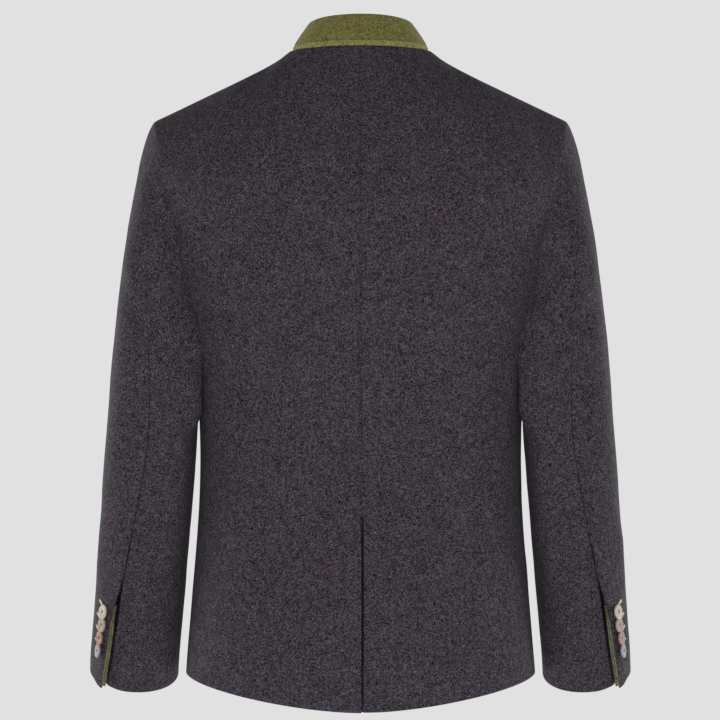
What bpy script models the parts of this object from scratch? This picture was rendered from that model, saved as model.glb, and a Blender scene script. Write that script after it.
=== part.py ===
"""A trachten coat: a hip-length jacket of charcoal wool with a green stand collar, worn and hollow.

It hangs as on a standing wearer, who is not there. The frame is in metres, +Z up, the back towards +Y and the
wearer's left towards +X. The origin lies between the neck ends of the two shoulder seams, where the
coat is carried. Every cloth piece is a wall between an outer face and an inner face, worked out from the sizes
and the short tables below.
"""
import math
from collections import namedtuple

import bmesh
import bpy
from mathutils import Matrix, Vector

# Cloth and seams
CLOTH = 0.0024
COLLAR_CLOTH = 0.0030
SEAM_GAP = 0.0003
ARMHOLE_GAP = 0.0005
SLEEVE_SEAM_GAP = 0.0004

# Heights of the levels that the panels are built between
ARMPIT_Z = -0.297
BLADE_Z = -0.180
HEM_BACK_Z = -0.7205
HEM_SIDE_Z = -0.6915
HEM_FRONT_Z = -0.7120
HEM_BACK_POWER = 1.65
HEM_FRONT_POWER = 2.0

# Neck and shoulder
NECK_HALF_WIDTH = 0.0775
NECK_SIDE_Y = -0.005
NECK_BACK_Y = 0.060
NECK_FRONT_Y = -0.083
NECK_BACK_Z = -0.001
NECK_FRONT_Z = -0.078
NECK_DROP_POWER = 1.4
SHOULDER_X = 0.2280
SHOULDER_SLOPE = math.tan(math.radians(25))
NECK_CURVE_DROP = 0.0078
NECK_CURVE_RUN = 0.020

# The armhole leaves the ring at this share of the way round from the centre line, at the blade level
ARMHOLE_TURN = 0.70

# Columns and rows of a body panel
BODY_COLUMNS = 13
NECK_COLUMNS = 6
SKIRT_ROWS = 10
SCOOP_ROWS = 5
YOKE_ROWS = 7

# Centre back vent and front overlap
VENT_ROW = 5
VENT_LAP = 0.0018
VENT_TAB = (0.012, 0.026, 0.040)
LAP_DEPTH = 0.0034
VENT_EASE_X = 0.030
FRONT_LAP = 0.020
FRONT_LAP_RISE = 0.0017
FRONT_LAP_FADE = 0.050
FRONT_CORNER_RADIUS = 0.014

# Sleeve
SLEEVE_CAP_DROP = 0.052
SLEEVE_HEAD_SLOPE = 0.0027
SLEEVE_CAP_ROWS = 4
SLEEVE_ROWS = 17
HIND_SEAM_ROW = 5
FOREARM_SEAM_ROW = 4
FOREARM_SEAM = 217.0
FOREARM_SEAM_SETTLE = 0.25
CUFF_Z = -0.6980
CUFF_BACK_DROP = 0.0180
CUFF_SIDE_RISE = 0.0045
CUFF_VENT_ROW = 12
CUFF_VENT_LAP_TURN = 24.0
CUFF_VENT_LIFT = 0.0032
CUFF_VENT_EASE_TURN = 24.0
CUFF_CORNER_DROP = 0.0040
CUFF_LAP_DEPTH = 0.0032

# Cuff piping
PIPING_RADIUS = 0.0013
PIPING_START = 0.26

# Collar
COLLAR_TOP_HALF_WIDTH = 0.0592
COLLAR_TOP_BACK_Y = 0.0515
COLLAR_TOP_FRONT_Y = -0.0770
COLLAR_TOP_BACK_Z = 0.0345
COLLAR_TOP_SIDE_Z = 0.0245
COLLAR_TOP_FRONT_Z = -0.0470
COLLAR_TOP_POWER = 0.5
COLLAR_SEAM_BAND = 0.0055
COLLAR_BAND_RISE = 0.0007
COLLAR_END_GAP = 0.0020
COLLAR_CORNER = 0.015

# Buttons
CUFF_BUTTON_RADIUS = 0.0083
CUFF_BUTTON_HEIGHT = 0.0026
CUFF_BUTTON_TILT = math.radians(12)
CUFF_BUTTON_FIRST_Z = -0.6238
CUFF_BUTTON_STEP_Z = -0.0155
CUFF_BUTTON_TURNS = (41.2, 41.0, 42.6, 43.6)
FRONT_BUTTON_RADIUS = 0.0108
FRONT_BUTTON_HEIGHT = 0.0040
FRONT_BUTTON_COUNT = 5
FRONT_BUTTON_FIRST_Z = -0.115
FRONT_BUTTON_STEP_Z = -0.100
BUTTON_BACK = 0.84
BUTTON_GAP = 0.0003
BUTTON_SIDES = 14

# Torso sections: height, half width, depth of the back and of the front, and how square each corner is
Ring = namedtuple("Ring", "z half_width back front back_corner front_corner")
TORSO = (
    Ring(-0.730, 0.1955, 0.1190, 0.1270, 0.66, 0.62),
    Ring(-0.690, 0.1940, 0.1185, 0.1265, 0.66, 0.62),
    Ring(-0.640, 0.1902, 0.1165, 0.1255, 0.66, 0.62),
    Ring(-0.585, 0.1856, 0.1120, 0.1235, 0.66, 0.62),
    Ring(-0.530, 0.1812, 0.1060, 0.1210, 0.66, 0.62),
    Ring(-0.478, 0.1788, 0.1010, 0.1195, 0.66, 0.62),
    Ring(-0.430, 0.1787, 0.0990, 0.1200, 0.66, 0.62),
    Ring(-0.370, 0.1817, 0.1030, 0.1245, 0.67, 0.63),
    Ring(-0.310, 0.1885, 0.1120, 0.1295, 0.68, 0.64),
    Ring(-0.250, 0.2085, 0.1185, 0.1275, 0.69, 0.65),
    Ring(-0.180, 0.2310, 0.1205, 0.1160, 0.70, 0.66),
    Ring(-0.120, 0.2460, 0.1170, 0.1010, 0.70, 0.66),
)

# Sleeve sections, level cuts through the left sleeve: height, inner and outer edge, back and front edge
Cut = namedtuple("Cut", "z inner outer back front")
SLEEVE = (
    Cut(-0.070, 0.1900, 0.2385, 0.0080, -0.0200),
    Cut(-0.085, 0.1900, 0.2400, 0.0230, -0.0350),
    Cut(-0.110, 0.1890, 0.2436, 0.0400, -0.0500),
    Cut(-0.145, 0.1920, 0.2495, 0.0570, -0.0640),
    Cut(-0.190, 0.1930, 0.2568, 0.0690, -0.0730),
    Cut(-0.250, 0.1950, 0.2645, 0.0740, -0.0770),
    Cut(-0.310, 0.1897, 0.2718, 0.0735, -0.0765),
    Cut(-0.360, 0.1836, 0.2768, 0.0710, -0.0735),
    Cut(-0.411, 0.1812, 0.2804, 0.0680, -0.0690),
    Cut(-0.465, 0.1843, 0.2849, 0.0640, -0.0660),
    Cut(-0.518, 0.1890, 0.2888, 0.0560, -0.0680),
    Cut(-0.572, 0.1942, 0.2943, 0.0440, -0.0740),
    Cut(-0.625, 0.1994, 0.2998, 0.0280, -0.0830),
    Cut(-0.679, 0.2054, 0.3055, 0.0080, -0.0950),
    Cut(-0.730, 0.2085, 0.3080, -0.0110, -0.1070),
)

# Hind-arm seam of the left sleeve: share of the way from the cap to the cuff, and turn from the back, in degrees
SeamTurn = namedtuple("SeamTurn", "share turn")
HIND_SEAM = (
    SeamTurn(0.00, 3.0),
    SeamTurn(0.18, -0.5),
    SeamTurn(0.34, -1.6),
    SeamTurn(0.46, 0.8),
    SeamTurn(0.59, 8.5),
    SeamTurn(0.72, 17.0),
    SeamTurn(0.79, 22.3),
    SeamTurn(0.86, 27.7),
    SeamTurn(0.93, 32.4),
    SeamTurn(1.00, 39.0),
)

Finish = namedtuple("Finish", "colour roughness metallic")
FINISHES = {
    "charcoal_wool": Finish((0.042, 0.036, 0.043), 0.90, 0.0),
    "green_wool": Finish((0.120, 0.112, 0.038), 0.88, 0.0),
    "horn": Finish((0.560, 0.440, 0.300), 0.40, 0.0),
}


def smooth(table, name, at):
    """A column of a table at a place between its rows, on one smooth curve through them all."""
    keys = [row[0] for row in table]
    values = [getattr(row, name) for row in table]
    if keys[0] > keys[-1]:
        keys, values = keys[::-1], values[::-1]
    at = min(max(at, keys[0]), keys[-1])
    low = max(i for i in range(len(keys) - 1) if keys[i] <= at)
    step = keys[low + 1] - keys[low]
    share = (at - keys[low]) / step

    def slope(i):
        before, after = max(i - 1, 0), min(i + 1, len(keys) - 1)
        return (values[after] - values[before]) / (keys[after] - keys[before])

    return hermite(values[low], slope(low) * step, values[low + 1], slope(low + 1) * step, share)


def hermite(start, leave, end, arrive, share):
    """The curve from start to end that leaves and arrives with the given tangents."""
    square, cube = share * share, share ** 3
    return (
        start * (2 * cube - 3 * square + 1)
        + leave * (cube - 2 * square + share)
        + end * (3 * square - 2 * cube)
        + arrive * (cube - square)
    )


def ease(share):
    """0 below 0, 1 above 1, and a soft step between."""
    share = min(max(share, 0.0), 1.0)
    return share * share * (3 - 2 * share)


def ring_point(back, turn, z):
    """The torso's surface at a height. turn is 0 at the centre line and 1 at the side."""
    half_width = smooth(TORSO, "half_width", z)
    depth = smooth(TORSO, "back" if back else "front", z)
    corner = smooth(TORSO, "back_corner" if back else "front_corner", z)
    rest = 1 - turn
    x = half_width * (3 * rest * rest * turn * corner + 3 * rest * turn * turn + turn ** 3)
    y = depth * (rest ** 3 + 3 * rest * rest * turn + 3 * rest * turn * turn * corner)
    return Vector((x, y if back else -y, z))


def neckline(back, turn):
    """The neck seam of the body: turn 0 at the centre line and 1 at the shoulder seam."""
    angle = turn * math.pi / 2
    centre_y = NECK_BACK_Y if back else NECK_FRONT_Y
    y = NECK_SIDE_Y + (centre_y - NECK_SIDE_Y) * math.cos(angle)
    centre_z = NECK_BACK_Z if back else NECK_FRONT_Z
    z = centre_z * max(math.cos(angle), 0.0) ** NECK_DROP_POWER
    return Vector((NECK_HALF_WIDTH * math.sin(angle), y, z))


def shoulder_point(share):
    """The shoulder seam, from the neck to the sleeve."""
    run = share * (SHOULDER_X - NECK_HALF_WIDTH)
    z = -SHOULDER_SLOPE * run - NECK_CURVE_DROP * (1 - math.exp(-run / NECK_CURVE_RUN))
    return Vector((NECK_HALF_WIDTH + run, NECK_SIDE_Y, z))


def top_line(back, across):
    """The upper edge of a body panel: the neck seam, then the shoulder seam."""
    neck_share = NECK_COLUMNS / BODY_COLUMNS
    if across <= neck_share:
        return neckline(back, across / neck_share)
    return shoulder_point((across - neck_share) / (1 - neck_share))


def top_direction(back, across):
    """The way in which the cloth reaches the upper edge."""
    neck_share = NECK_COLUMNS / BODY_COLUMNS
    forward = -1 if back else 1
    share = max(across - neck_share, 0.0) / (1 - neck_share)
    seam = (shoulder_point(min(share + 0.01, 1.01)) - shoulder_point(share)).normalized()
    lean = 0.68 * (1 - ease(share / 0.5))
    at_seam = (-lean * seam + Vector((0, forward * math.sqrt(1 - lean * lean), 0))).normalized()
    if across >= neck_share:
        return at_seam
    at_centre = Vector((0, -0.42, 0.91)) if back else Vector((0, 0.26, 0.97))
    blend = ease(abs(across) / neck_share)
    return (at_centre * (1 - blend) + at_seam * blend).normalized()


def yoke_point(back, across, rise):
    """The torso above the blade level. across is 0 at the centre and 1 at the armhole; rise is 0 to 1."""
    turn = across * ARMHOLE_TURN
    start = ring_point(back, turn, BLADE_Z)
    end = top_line(back, across)
    climb = ring_point(back, turn, BLADE_Z + 0.004) - ring_point(back, turn, BLADE_Z - 0.004)
    chord = (end - start).length
    reach = chord * (1.0 + 0.16 * ease(abs(across) / 0.5))
    return hermite(start, climb.normalized() * reach, end, top_direction(back, across) * reach, rise)


def hem_height(back, turn):
    """The hem's height at a turn round the torso: lowest at the centre line, highest at the side."""
    side = ring_point(back, 1.0, HEM_SIDE_Z).x
    share = min(abs(ring_point(back, turn, HEM_SIDE_Z).x) / side, 1.0)
    centre, power = (HEM_BACK_Z, HEM_BACK_POWER) if back else (HEM_FRONT_Z, HEM_FRONT_POWER)
    return centre + (HEM_SIDE_Z - centre) * share ** power


def body_turn_and_height(back, across, level):
    """Where a point of a panel below the blade level lies on the torso. level is 0 at the hem, 1 at the
    armpit and 2 at the blades; the armhole's lower half takes the side away above 1."""
    if level <= 1:
        hem = hem_height(back, across)
        return across, hem + (ARMPIT_Z - hem) * level
    angle = (level - 1) * math.pi / 2
    edge = 1 - (1 - ARMHOLE_TURN) * math.sin(angle)
    return across * edge, ARMPIT_Z + (BLADE_Z - ARMPIT_Z) * (1 - math.cos(angle))


def body_point(back, across, level):
    """A point on the outer face of the left half of the body, for level 0 at the hem to 3 at the top."""
    if level > 2:
        return yoke_point(back, across, level - 2)
    return ring_point(back, *body_turn_and_height(back, across, level))


def body_normal(back, across, level):
    """The outward normal there, from the surface itself, so that pieces meet face to face at a seam."""
    step = 0.002
    if level > 2:
        rise = level - 2
        neck_share = NECK_COLUMNS / BODY_COLUMNS
        left = across - step if abs(across - neck_share) > step else across
        right = min(across + step, 1.0)
        along = yoke_point(back, right, rise) - yoke_point(back, min(left, right - step), rise)
        up = yoke_point(back, across, min(rise + step, 1.0)) - yoke_point(back, across, rise - step)
    else:
        turn, z = body_turn_and_height(back, across, level)
        along = ring_point(back, min(turn + step, 1.0), z) - ring_point(back, turn - step, z)
        up = ring_point(back, turn, z + step) - ring_point(back, turn, z - step)
    normal = along.cross(up).normalized()
    if normal.dot(Vector((0, 1 if back else -1, 0.4)) + Vector((turn_out(across), 0, 0))) < 0:
        normal.negate()
    if abs(across) < 1e-6:
        normal.x = 0
        normal.normalize()
    return normal


def turn_out(across):
    """How far the wanted normal leans to the side, used only to tell out from in."""
    return 2.0 * across


def body_levels():
    """Rows of a body panel, from the hem to the top."""
    skirt = [row / SKIRT_ROWS for row in range(SKIRT_ROWS)]
    scoop = [1 + row / SCOOP_ROWS for row in range(SCOOP_ROWS)]
    yoke = [2 + row / YOKE_ROWS for row in range(YOKE_ROWS + 1)]
    return skirt + scoop + yoke


def wall(name, rows, thickness, finish):
    """One closed solid from rows of (outer point, outward normal), or None where the piece has nothing."""
    mesh = bmesh.new()
    outer, inner = {}, {}
    for r, row in enumerate(rows):
        for c, place in enumerate(row):
            if place is not None:
                point, normal = place
                outer[r, c] = mesh.verts.new(point)
                inner[r, c] = mesh.verts.new(point - normal * thickness)
    edges = {}
    for r in range(len(rows) - 1):
        for c in range(len(rows[r]) - 1):
            corners = ((r, c), (r, c + 1), (r + 1, c + 1), (r + 1, c))
            if any(corner not in outer for corner in corners):
                continue
            mesh.faces.new([outer[k] for k in corners])
            mesh.faces.new([inner[k] for k in reversed(corners)])
            for first, second in zip(corners, corners[1:] + corners[:1]):
                if (second, first) in edges:
                    del edges[second, first]
                else:
                    edges[first, second] = True
    for first, second in edges:
        mesh.faces.new([outer[second], outer[first], inner[first], inner[second]])
    return mesh_object(name, mesh, finish)


def mesh_object(name, mesh, finish):
    """Puts a closed mesh into the coat's collection, with its normals out and its finish on."""
    loose = [vert for vert in mesh.verts if not vert.link_faces]
    bmesh.ops.delete(mesh, geom=loose, context="VERTS")
    bmesh.ops.recalc_face_normals(mesh, faces=mesh.faces)
    data = bpy.data.meshes.new(name)
    mesh.to_mesh(data)
    mesh.free()
    piece = bpy.data.objects.new(name, data)
    return add_to_coat(piece, finish)


def add_to_coat(piece, finish):
    bpy.data.collections["trachten_coat"].objects.link(piece)
    piece.data.materials.append(bpy.data.materials[finish])
    if piece.type == "MESH":
        piece.data.shade_smooth()
        piece.data.set_sharp_from_angle(angle=math.radians(40))
    return piece


def mirrored(place):
    """The same place on the other side of the coat."""
    if place is None:
        return None
    point, normal = place
    return Vector((-point.x, point.y, point.z)), Vector((-normal.x, normal.y, normal.z))


def seamed_place(back, across, level):
    """A place on the body's left half, drawn back from the side and shoulder seams by half the seam gap."""
    point, normal = body_point(back, across, level), body_normal(back, across, level)
    neck_share = NECK_COLUMNS / BODY_COLUMNS
    half_gap = SEAM_GAP / 2 if back else -SEAM_GAP / 2
    on_side_seam = across > 0.999 and level <= 1
    on_shoulder_seam = level > 2.999 and across >= neck_share - 1e-6
    if on_side_seam or on_shoulder_seam:
        point.y += half_gap
        normal.y = 0
        normal.normalize()
    if across > 0.999 and level >= 1:
        row = body_levels().index(level) - SKIRT_ROWS
        turn = armhole_turns(back)[row]
        normal = shared_normal(turn, armhole_place(turn)[1], sleeve_normal(turn, 0))
    return point, normal


def pushed(place, out):
    point, normal = place
    return point + normal * out, normal


def back_rows(left):
    """Rows of one back panel, as on the left; the right one is mirrored later and has the vent's tab."""
    rows = []
    for index, level in enumerate(body_levels()):
        in_vent = index <= VENT_ROW
        row = []
        for column in range(BODY_COLUMNS + 1):
            point, normal = seamed_place(True, column / BODY_COLUMNS, level)
            if column == 0:
                point.x = SEAM_GAP / 2
                if left and index < VENT_ROW:
                    point.x = -VENT_LAP
            fade = 1 - ease(point.x / VENT_EASE_X)
            sink = -LAP_DEPTH * fade if in_vent and not left else 0.0
            row.append((point + normal * sink, normal))
        tab = []
        if not left:
            for reach in reversed(VENT_TAB):
                if not in_vent:
                    tab.append(None)
                    continue
                turn = -reach / centre_spread(True, level)
                point, normal = body_point(True, turn, level), body_normal(True, turn, level)
                tab.append((Vector((-reach, point.y, point.z)) - normal * LAP_DEPTH, normal))
        rows.append(tab + row)
    return rows


def centre_spread(back, level):
    """How far x moves for a small step across the panel at its centre line."""
    step = 0.01
    return body_point(back, step, level).x / step


def front_rows(left):
    """Rows of one front panel, as on the left, from the edge past the centre line to the side."""
    sign = 1 if left else -1
    rise = sign * FRONT_LAP_RISE
    rows = []
    for level in body_levels():
        row = []
        spread = centre_spread(False, level)
        for reach in (FRONT_LAP, FRONT_LAP / 2):
            across = -reach / spread
            point = body_point(False, across, level)
            normal = body_normal(False, across, level)
            point.x = -reach
            if level == 0 and reach == FRONT_LAP:
                point.z += FRONT_CORNER_RADIUS * 0.4
            row.append(pushed((point, normal), rise))
        for column in range(BODY_COLUMNS + 1):
            place = seamed_place(False, column / BODY_COLUMNS, level)
            fade = 1 - ease((place[0].x - FRONT_LAP) / (FRONT_LAP_FADE - FRONT_LAP))
            row.append(pushed(place, rise * fade))
        rows.append(row)
    return rows


def build_body():
    wall("back_left", back_rows(True), CLOTH, "charcoal_wool")
    right = [[mirrored(place) for place in row] for row in back_rows(False)]
    wall("back_right", right, CLOTH, "charcoal_wool")
    wall("front_left", front_rows(True), CLOTH, "charcoal_wool")
    right = [[mirrored(place) for place in row] for row in front_rows(False)]
    wall("front_right", right, CLOTH, "charcoal_wool")


def armhole_edge(back):
    """The body's own vertices on the armhole, with their running length, from the armpit to the shoulder."""
    levels = [level for level in body_levels() if level >= 1]
    points = [body_point(back, 1.0, level) for level in levels]
    normals = [body_normal(back, 1.0, level) for level in levels]
    lengths = [0.0]
    for first, second in zip(points, points[1:]):
        lengths.append(lengths[-1] + (second - first).length)
    return points, normals, lengths


ARMHOLE = {}


def armhole_place(turn):
    """The armhole's edge and the body's normal there, by the turn round the sleeve: 0 back, 90 shoulder,
    180 front, 270 armpit."""
    turn = (turn + 90) % 360 - 90
    back = turn <= 90
    if back not in ARMHOLE:
        ARMHOLE[back] = armhole_edge(back)
    points, normals, lengths = ARMHOLE[back]
    share = (turn + 90) / 180 if back else (270 - turn) / 180
    along = share * lengths[-1]
    low = max(i for i in range(len(points) - 1) if lengths[i] <= along + 1e-12)
    part = (along - lengths[low]) / (lengths[low + 1] - lengths[low])
    return points[low].lerp(points[low + 1], part), normals[low].lerp(normals[low + 1], part).normalized()


def armhole_point(turn):
    return armhole_place(turn)[0]


def tube_point(turn, z):
    """The left sleeve's level section at a height."""
    inner, outer = smooth(SLEEVE, "inner", z), smooth(SLEEVE, "outer", z)
    back, front = smooth(SLEEVE, "back", z), smooth(SLEEVE, "front", z)
    angle = math.radians(turn)
    return Vector((
        (inner + outer) / 2 + (outer - inner) / 2 * math.sin(angle),
        (back + front) / 2 + (back - front) / 2 * math.cos(angle),
        z,
    ))


def cuff_height(turn):
    """The sleeve hem's height round the cuff: lowest at the back."""
    angle = math.radians(turn)
    return CUFF_Z - CUFF_BACK_DROP * math.cos(angle) + CUFF_SIDE_RISE * math.sin(angle)


def sleeve_point(turn, along):
    """The left sleeve's outer face. along is 0 at the armhole, 1 under the cap and 2 at the cuff."""
    edge = armhole_point(turn)
    start_z = edge.z
    if along < 1:
        angle = along * math.pi / 2
        z = start_z - SLEEVE_CAP_DROP * (1 - math.cos(angle))
        z -= SLEEVE_HEAD_SLOPE * math.sin(2 * angle) * max(math.sin(math.radians(turn)), 0.0)
        kept = 1 - math.sin(angle)
        step_out = edge - tube_point(turn, start_z)
        return tube_point(turn, z) + Vector((step_out.x, step_out.y, 0)) * kept
    top = start_z - SLEEVE_CAP_DROP
    return tube_point(turn, top + (cuff_height(turn) - top) * (along - 1))


def sleeve_normal(turn, along):
    step = 0.004
    low = max(along - step, 0.0)
    high = min(along + step, 2.0)
    around = sleeve_point(turn + 0.5, along) - sleeve_point(turn - 0.5, along)
    down = sleeve_point(turn, high) - sleeve_point(turn, low)
    return around.cross(down).normalized()


def armhole_turns(back):
    """The turns at which the body's rows end on the armhole, from the armpit to the shoulder."""
    armhole_point(0 if back else 180)
    lengths = ARMHOLE[back][2]
    shares = [length / lengths[-1] for length in lengths]
    return [180 * share - 90 if back else 270 - 180 * share for share in shares]


def hind_seam(along):
    """The hind-arm seam's turn. It starts from one of the body's rows."""
    start = armhole_turns(True)[HIND_SEAM_ROW]
    share = max(along - 1, 0.0)
    turn = smooth(HIND_SEAM, "turn", share)
    return turn + (start - HIND_SEAM[0].turn) * (1 - ease(share / HIND_SEAM[1].share))


def forearm_seam(along):
    start = armhole_turns(False)[FOREARM_SEAM_ROW]
    return start + (FOREARM_SEAM - start) * ease((along - 1) / FOREARM_SEAM_SETTLE)


def column_shares(turns):
    """Shares of the way from the first turn to the last."""
    return [(turn - turns[0]) / (turns[-1] - turns[0]) for turn in turns]


def top_sleeve_shares():
    over = armhole_turns(True)[HIND_SEAM_ROW:]
    down = armhole_turns(False)[FOREARM_SEAM_ROW:-1]
    return column_shares(over + down[::-1])


def under_sleeve_shares():
    down = armhole_turns(False)[:FOREARM_SEAM_ROW + 1]
    up = armhole_turns(True)[1:HIND_SEAM_ROW + 1]
    return column_shares(down[::-1] + [turn + 360 for turn in up])


def sleeve_rows_along():
    cap = [row / SLEEVE_CAP_ROWS for row in range(SLEEVE_CAP_ROWS)]
    arm = [1 + row / SLEEVE_ROWS for row in range(SLEEVE_ROWS + 1)]
    return cap + arm


def gap_turn(turn, along, length):
    """The turn that covers a length round the sleeve."""
    per_degree = (sleeve_point(turn + 0.5, along) - sleeve_point(turn - 0.5, along)).length
    return length / per_degree


def vent_share(along):
    """0 above the cuff's vent, rising to 1 at the hem."""
    vent_top = 1 + CUFF_VENT_ROW / SLEEVE_ROWS
    return max(along - vent_top, 0.0) / (2 - vent_top)


def shared_normal(turn, own, other):
    """The normal that both sides of the armhole seam use, where the cloth runs on over it; where the seam
    folds the cloth back under the arm, each keeps its own."""
    normal = own + other * ease(own.dot(other) / 0.4)
    if abs(math.cos(math.radians(turn))) < 1e-6:
        normal.y = 0
    return normal.normalized()


def near_vent(turn, along):
    """1 at the vent's upper edge, easing to 0 over the top sleeve."""
    return 1 - ease((turn - hind_seam(along)) / CUFF_VENT_EASE_TURN)


def vent_lift(turn, along):
    """How far the vent's upper edge stands off the sleeve's section."""
    return CUFF_VENT_LIFT * near_vent(turn, along) * ease(vent_share(along) * 1.6)


def lifted_place(turn, along):
    """A place on the top sleeve near its vent, with the normal of the lifted cloth."""
    def at(turn, along):
        return sleeve_place(turn, along, vent_lift(turn, along))[0]

    around = at(turn + 1, along) - at(turn - 1, along)
    down = at(turn, along + 0.01) - at(turn, along - 0.01)
    return at(turn, along), around.cross(down).normalized()


def sleeve_place(turn, along, out):
    """A place on the sleeve; its first row stands off the armhole by the seam's gap."""
    point, normal = sleeve_point(turn, along), sleeve_normal(turn, along)
    if along == 0:
        point.x += ARMHOLE_GAP
        normal = shared_normal(turn, normal, armhole_place(turn)[1])
    return point + normal * out, normal


def top_sleeve_rows():
    """The upper sleeve, from the hind-arm seam over the outside of the arm to the forearm seam."""
    rows = []
    for along in sleeve_rows_along():
        first, last = hind_seam(along), forearm_seam(along)
        first += gap_turn(first, along, SLEEVE_SEAM_GAP / 2)
        last -= gap_turn(last, along, SLEEVE_SEAM_GAP / 2)
        row = []
        for share in top_sleeve_shares():
            turn = first + (last - first) * share
            point, normal = sleeve_place(turn, along, vent_lift(turn, along))
            if along == 2:
                point.z -= CUFF_CORNER_DROP * near_vent(turn, along)
            row.append((point, normal))
        rows.append(row)
    return rows


def under_sleeve_rows():
    """The under sleeve, from the forearm seam under the arm to the hind-arm seam, and the vent's lap."""
    rows = []
    for index, along in enumerate(sleeve_rows_along()):
        in_vent = index >= SLEEVE_CAP_ROWS + CUFF_VENT_ROW
        ramp = ease((index - SLEEVE_CAP_ROWS - CUFF_VENT_ROW + 2) / 2)
        seam = hind_seam(along) + 360
        first = forearm_seam(along)
        first += gap_turn(first, along, SLEEVE_SEAM_GAP / 2)
        last = seam - gap_turn(seam, along, SLEEVE_SEAM_GAP / 2)
        row = []
        for share in under_sleeve_shares():
            turn = first + (last - first) * share
            near = 1 - ease((last - turn) / (1.4 * CUFF_VENT_EASE_TURN))
            row.append(sleeve_place(turn, along, -CUFF_LAP_DEPTH * near * ramp))
        for step in (0.5, 1.0):
            turn = last + CUFF_VENT_LAP_TURN * step
            row.append(sleeve_place(turn, along, -CUFF_LAP_DEPTH) if in_vent else None)
        rows.append(row)
    return rows


def build_sleeves():
    for side in ("left", "right"):
        flip = mirrored if side == "right" else tuple
        for name, rows in (("top_sleeve", top_sleeve_rows()), ("under_sleeve", under_sleeve_rows())):
            placed = [[place and flip(place) for place in row] for row in rows]
            wall(f"{name}_{side}", placed, CLOTH, "charcoal_wool")


def build_cuff_piping():
    """A rolled welt of green cloth along the free edge of each cuff's vent."""
    steps = 14
    start = 1 + CUFF_VENT_ROW / SLEEVE_ROWS
    for side, sign in (("left", 1), ("right", -1)):
        data = bpy.data.curves.new(f"cuff_piping_{side}", "CURVE")
        data.dimensions = "3D"
        data.bevel_depth = PIPING_RADIUS
        data.bevel_resolution = 2
        data.use_fill_caps = True
        spline = data.splines.new("POLY")
        spline.points.add(steps)
        for i in range(steps + 1):
            along = start + (2 - start) * (PIPING_START + (1 - PIPING_START) * i / steps)
            seam = hind_seam(along)
            turn = seam - gap_turn(seam, along, PIPING_RADIUS + SEAM_GAP)
            lift = CUFF_VENT_LIFT * ease(vent_share(along) * 1.6) - CLOTH / 2
            point, _ = sleeve_place(turn, along, lift)
            point.z -= CUFF_CORNER_DROP * ease((along - 1.94) / 0.06)
            spline.points[i].co = (sign * point.x, point.y, point.z, 1)
        add_to_coat(bpy.data.objects.new(f"cuff_piping_{side}", data), "green_wool")


def collar_base(turn):
    """The collar's seam round the neck: turn 0 at the centre back, 1 at the shoulder, 2 at the front. It runs
    straight between the panels' columns, so that the two edges keep their gap."""
    low = min(math.floor(turn * NECK_COLUMNS + 1e-9), 2 * NECK_COLUMNS - 1)
    ends = []
    for column in (low, low + 1):
        back = column <= NECK_COLUMNS
        ends.append(neckline(back, column / NECK_COLUMNS if back else 2 - column / NECK_COLUMNS))
    return ends[0].lerp(ends[1], turn * NECK_COLUMNS - low)


def collar_top(turn):
    """The collar's upper edge, closer to the neck than its seam."""
    angle = turn * math.pi / 2
    y_centre = NECK_SIDE_Y
    reach = (COLLAR_TOP_BACK_Y if turn <= 1 else COLLAR_TOP_FRONT_Y) - y_centre
    y = y_centre + reach * abs(math.cos(angle))
    x = COLLAR_TOP_HALF_WIDTH * math.sin(angle)
    if turn <= 1:
        level = abs(math.cos(angle)) ** COLLAR_TOP_POWER
        z = COLLAR_TOP_SIDE_Z + (COLLAR_TOP_BACK_Z - COLLAR_TOP_SIDE_Z) * level
    else:
        drop = abs(math.cos(angle)) ** NECK_DROP_POWER
        z = COLLAR_TOP_SIDE_Z + (COLLAR_TOP_FRONT_Z - COLLAR_TOP_SIDE_Z) * drop
    return Vector((x, y, z))


def collar_point(turn, rise):
    """The collar's outer face; rise is 0 at the seam and 1 at the upper edge."""
    sign = -1 if turn < 0 else 1
    point = collar_base(abs(turn)).lerp(collar_top(abs(turn)), rise)
    out = Vector((point.x, point.y - NECK_SIDE_Y, 0)).normalized()
    point += out * 0.0012 * math.sin(math.pi * rise)
    return Vector((sign * point.x, point.y, point.z))


def collar_normal(turn, rise):
    step = 0.01
    around = collar_point(turn + step, rise) - collar_point(turn - step, rise)
    if abs(turn) < step:
        around = Vector((1, 0, 0))
    up = collar_point(turn, rise + step) - collar_point(turn, rise - step)
    return up.cross(around).normalized()


def collar_end_turn():
    """The turn at which the collar's front end stands off the centre line by half the gap."""
    return 2 - math.asin(COLLAR_END_GAP / NECK_HALF_WIDTH) / (math.pi / 2)


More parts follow.
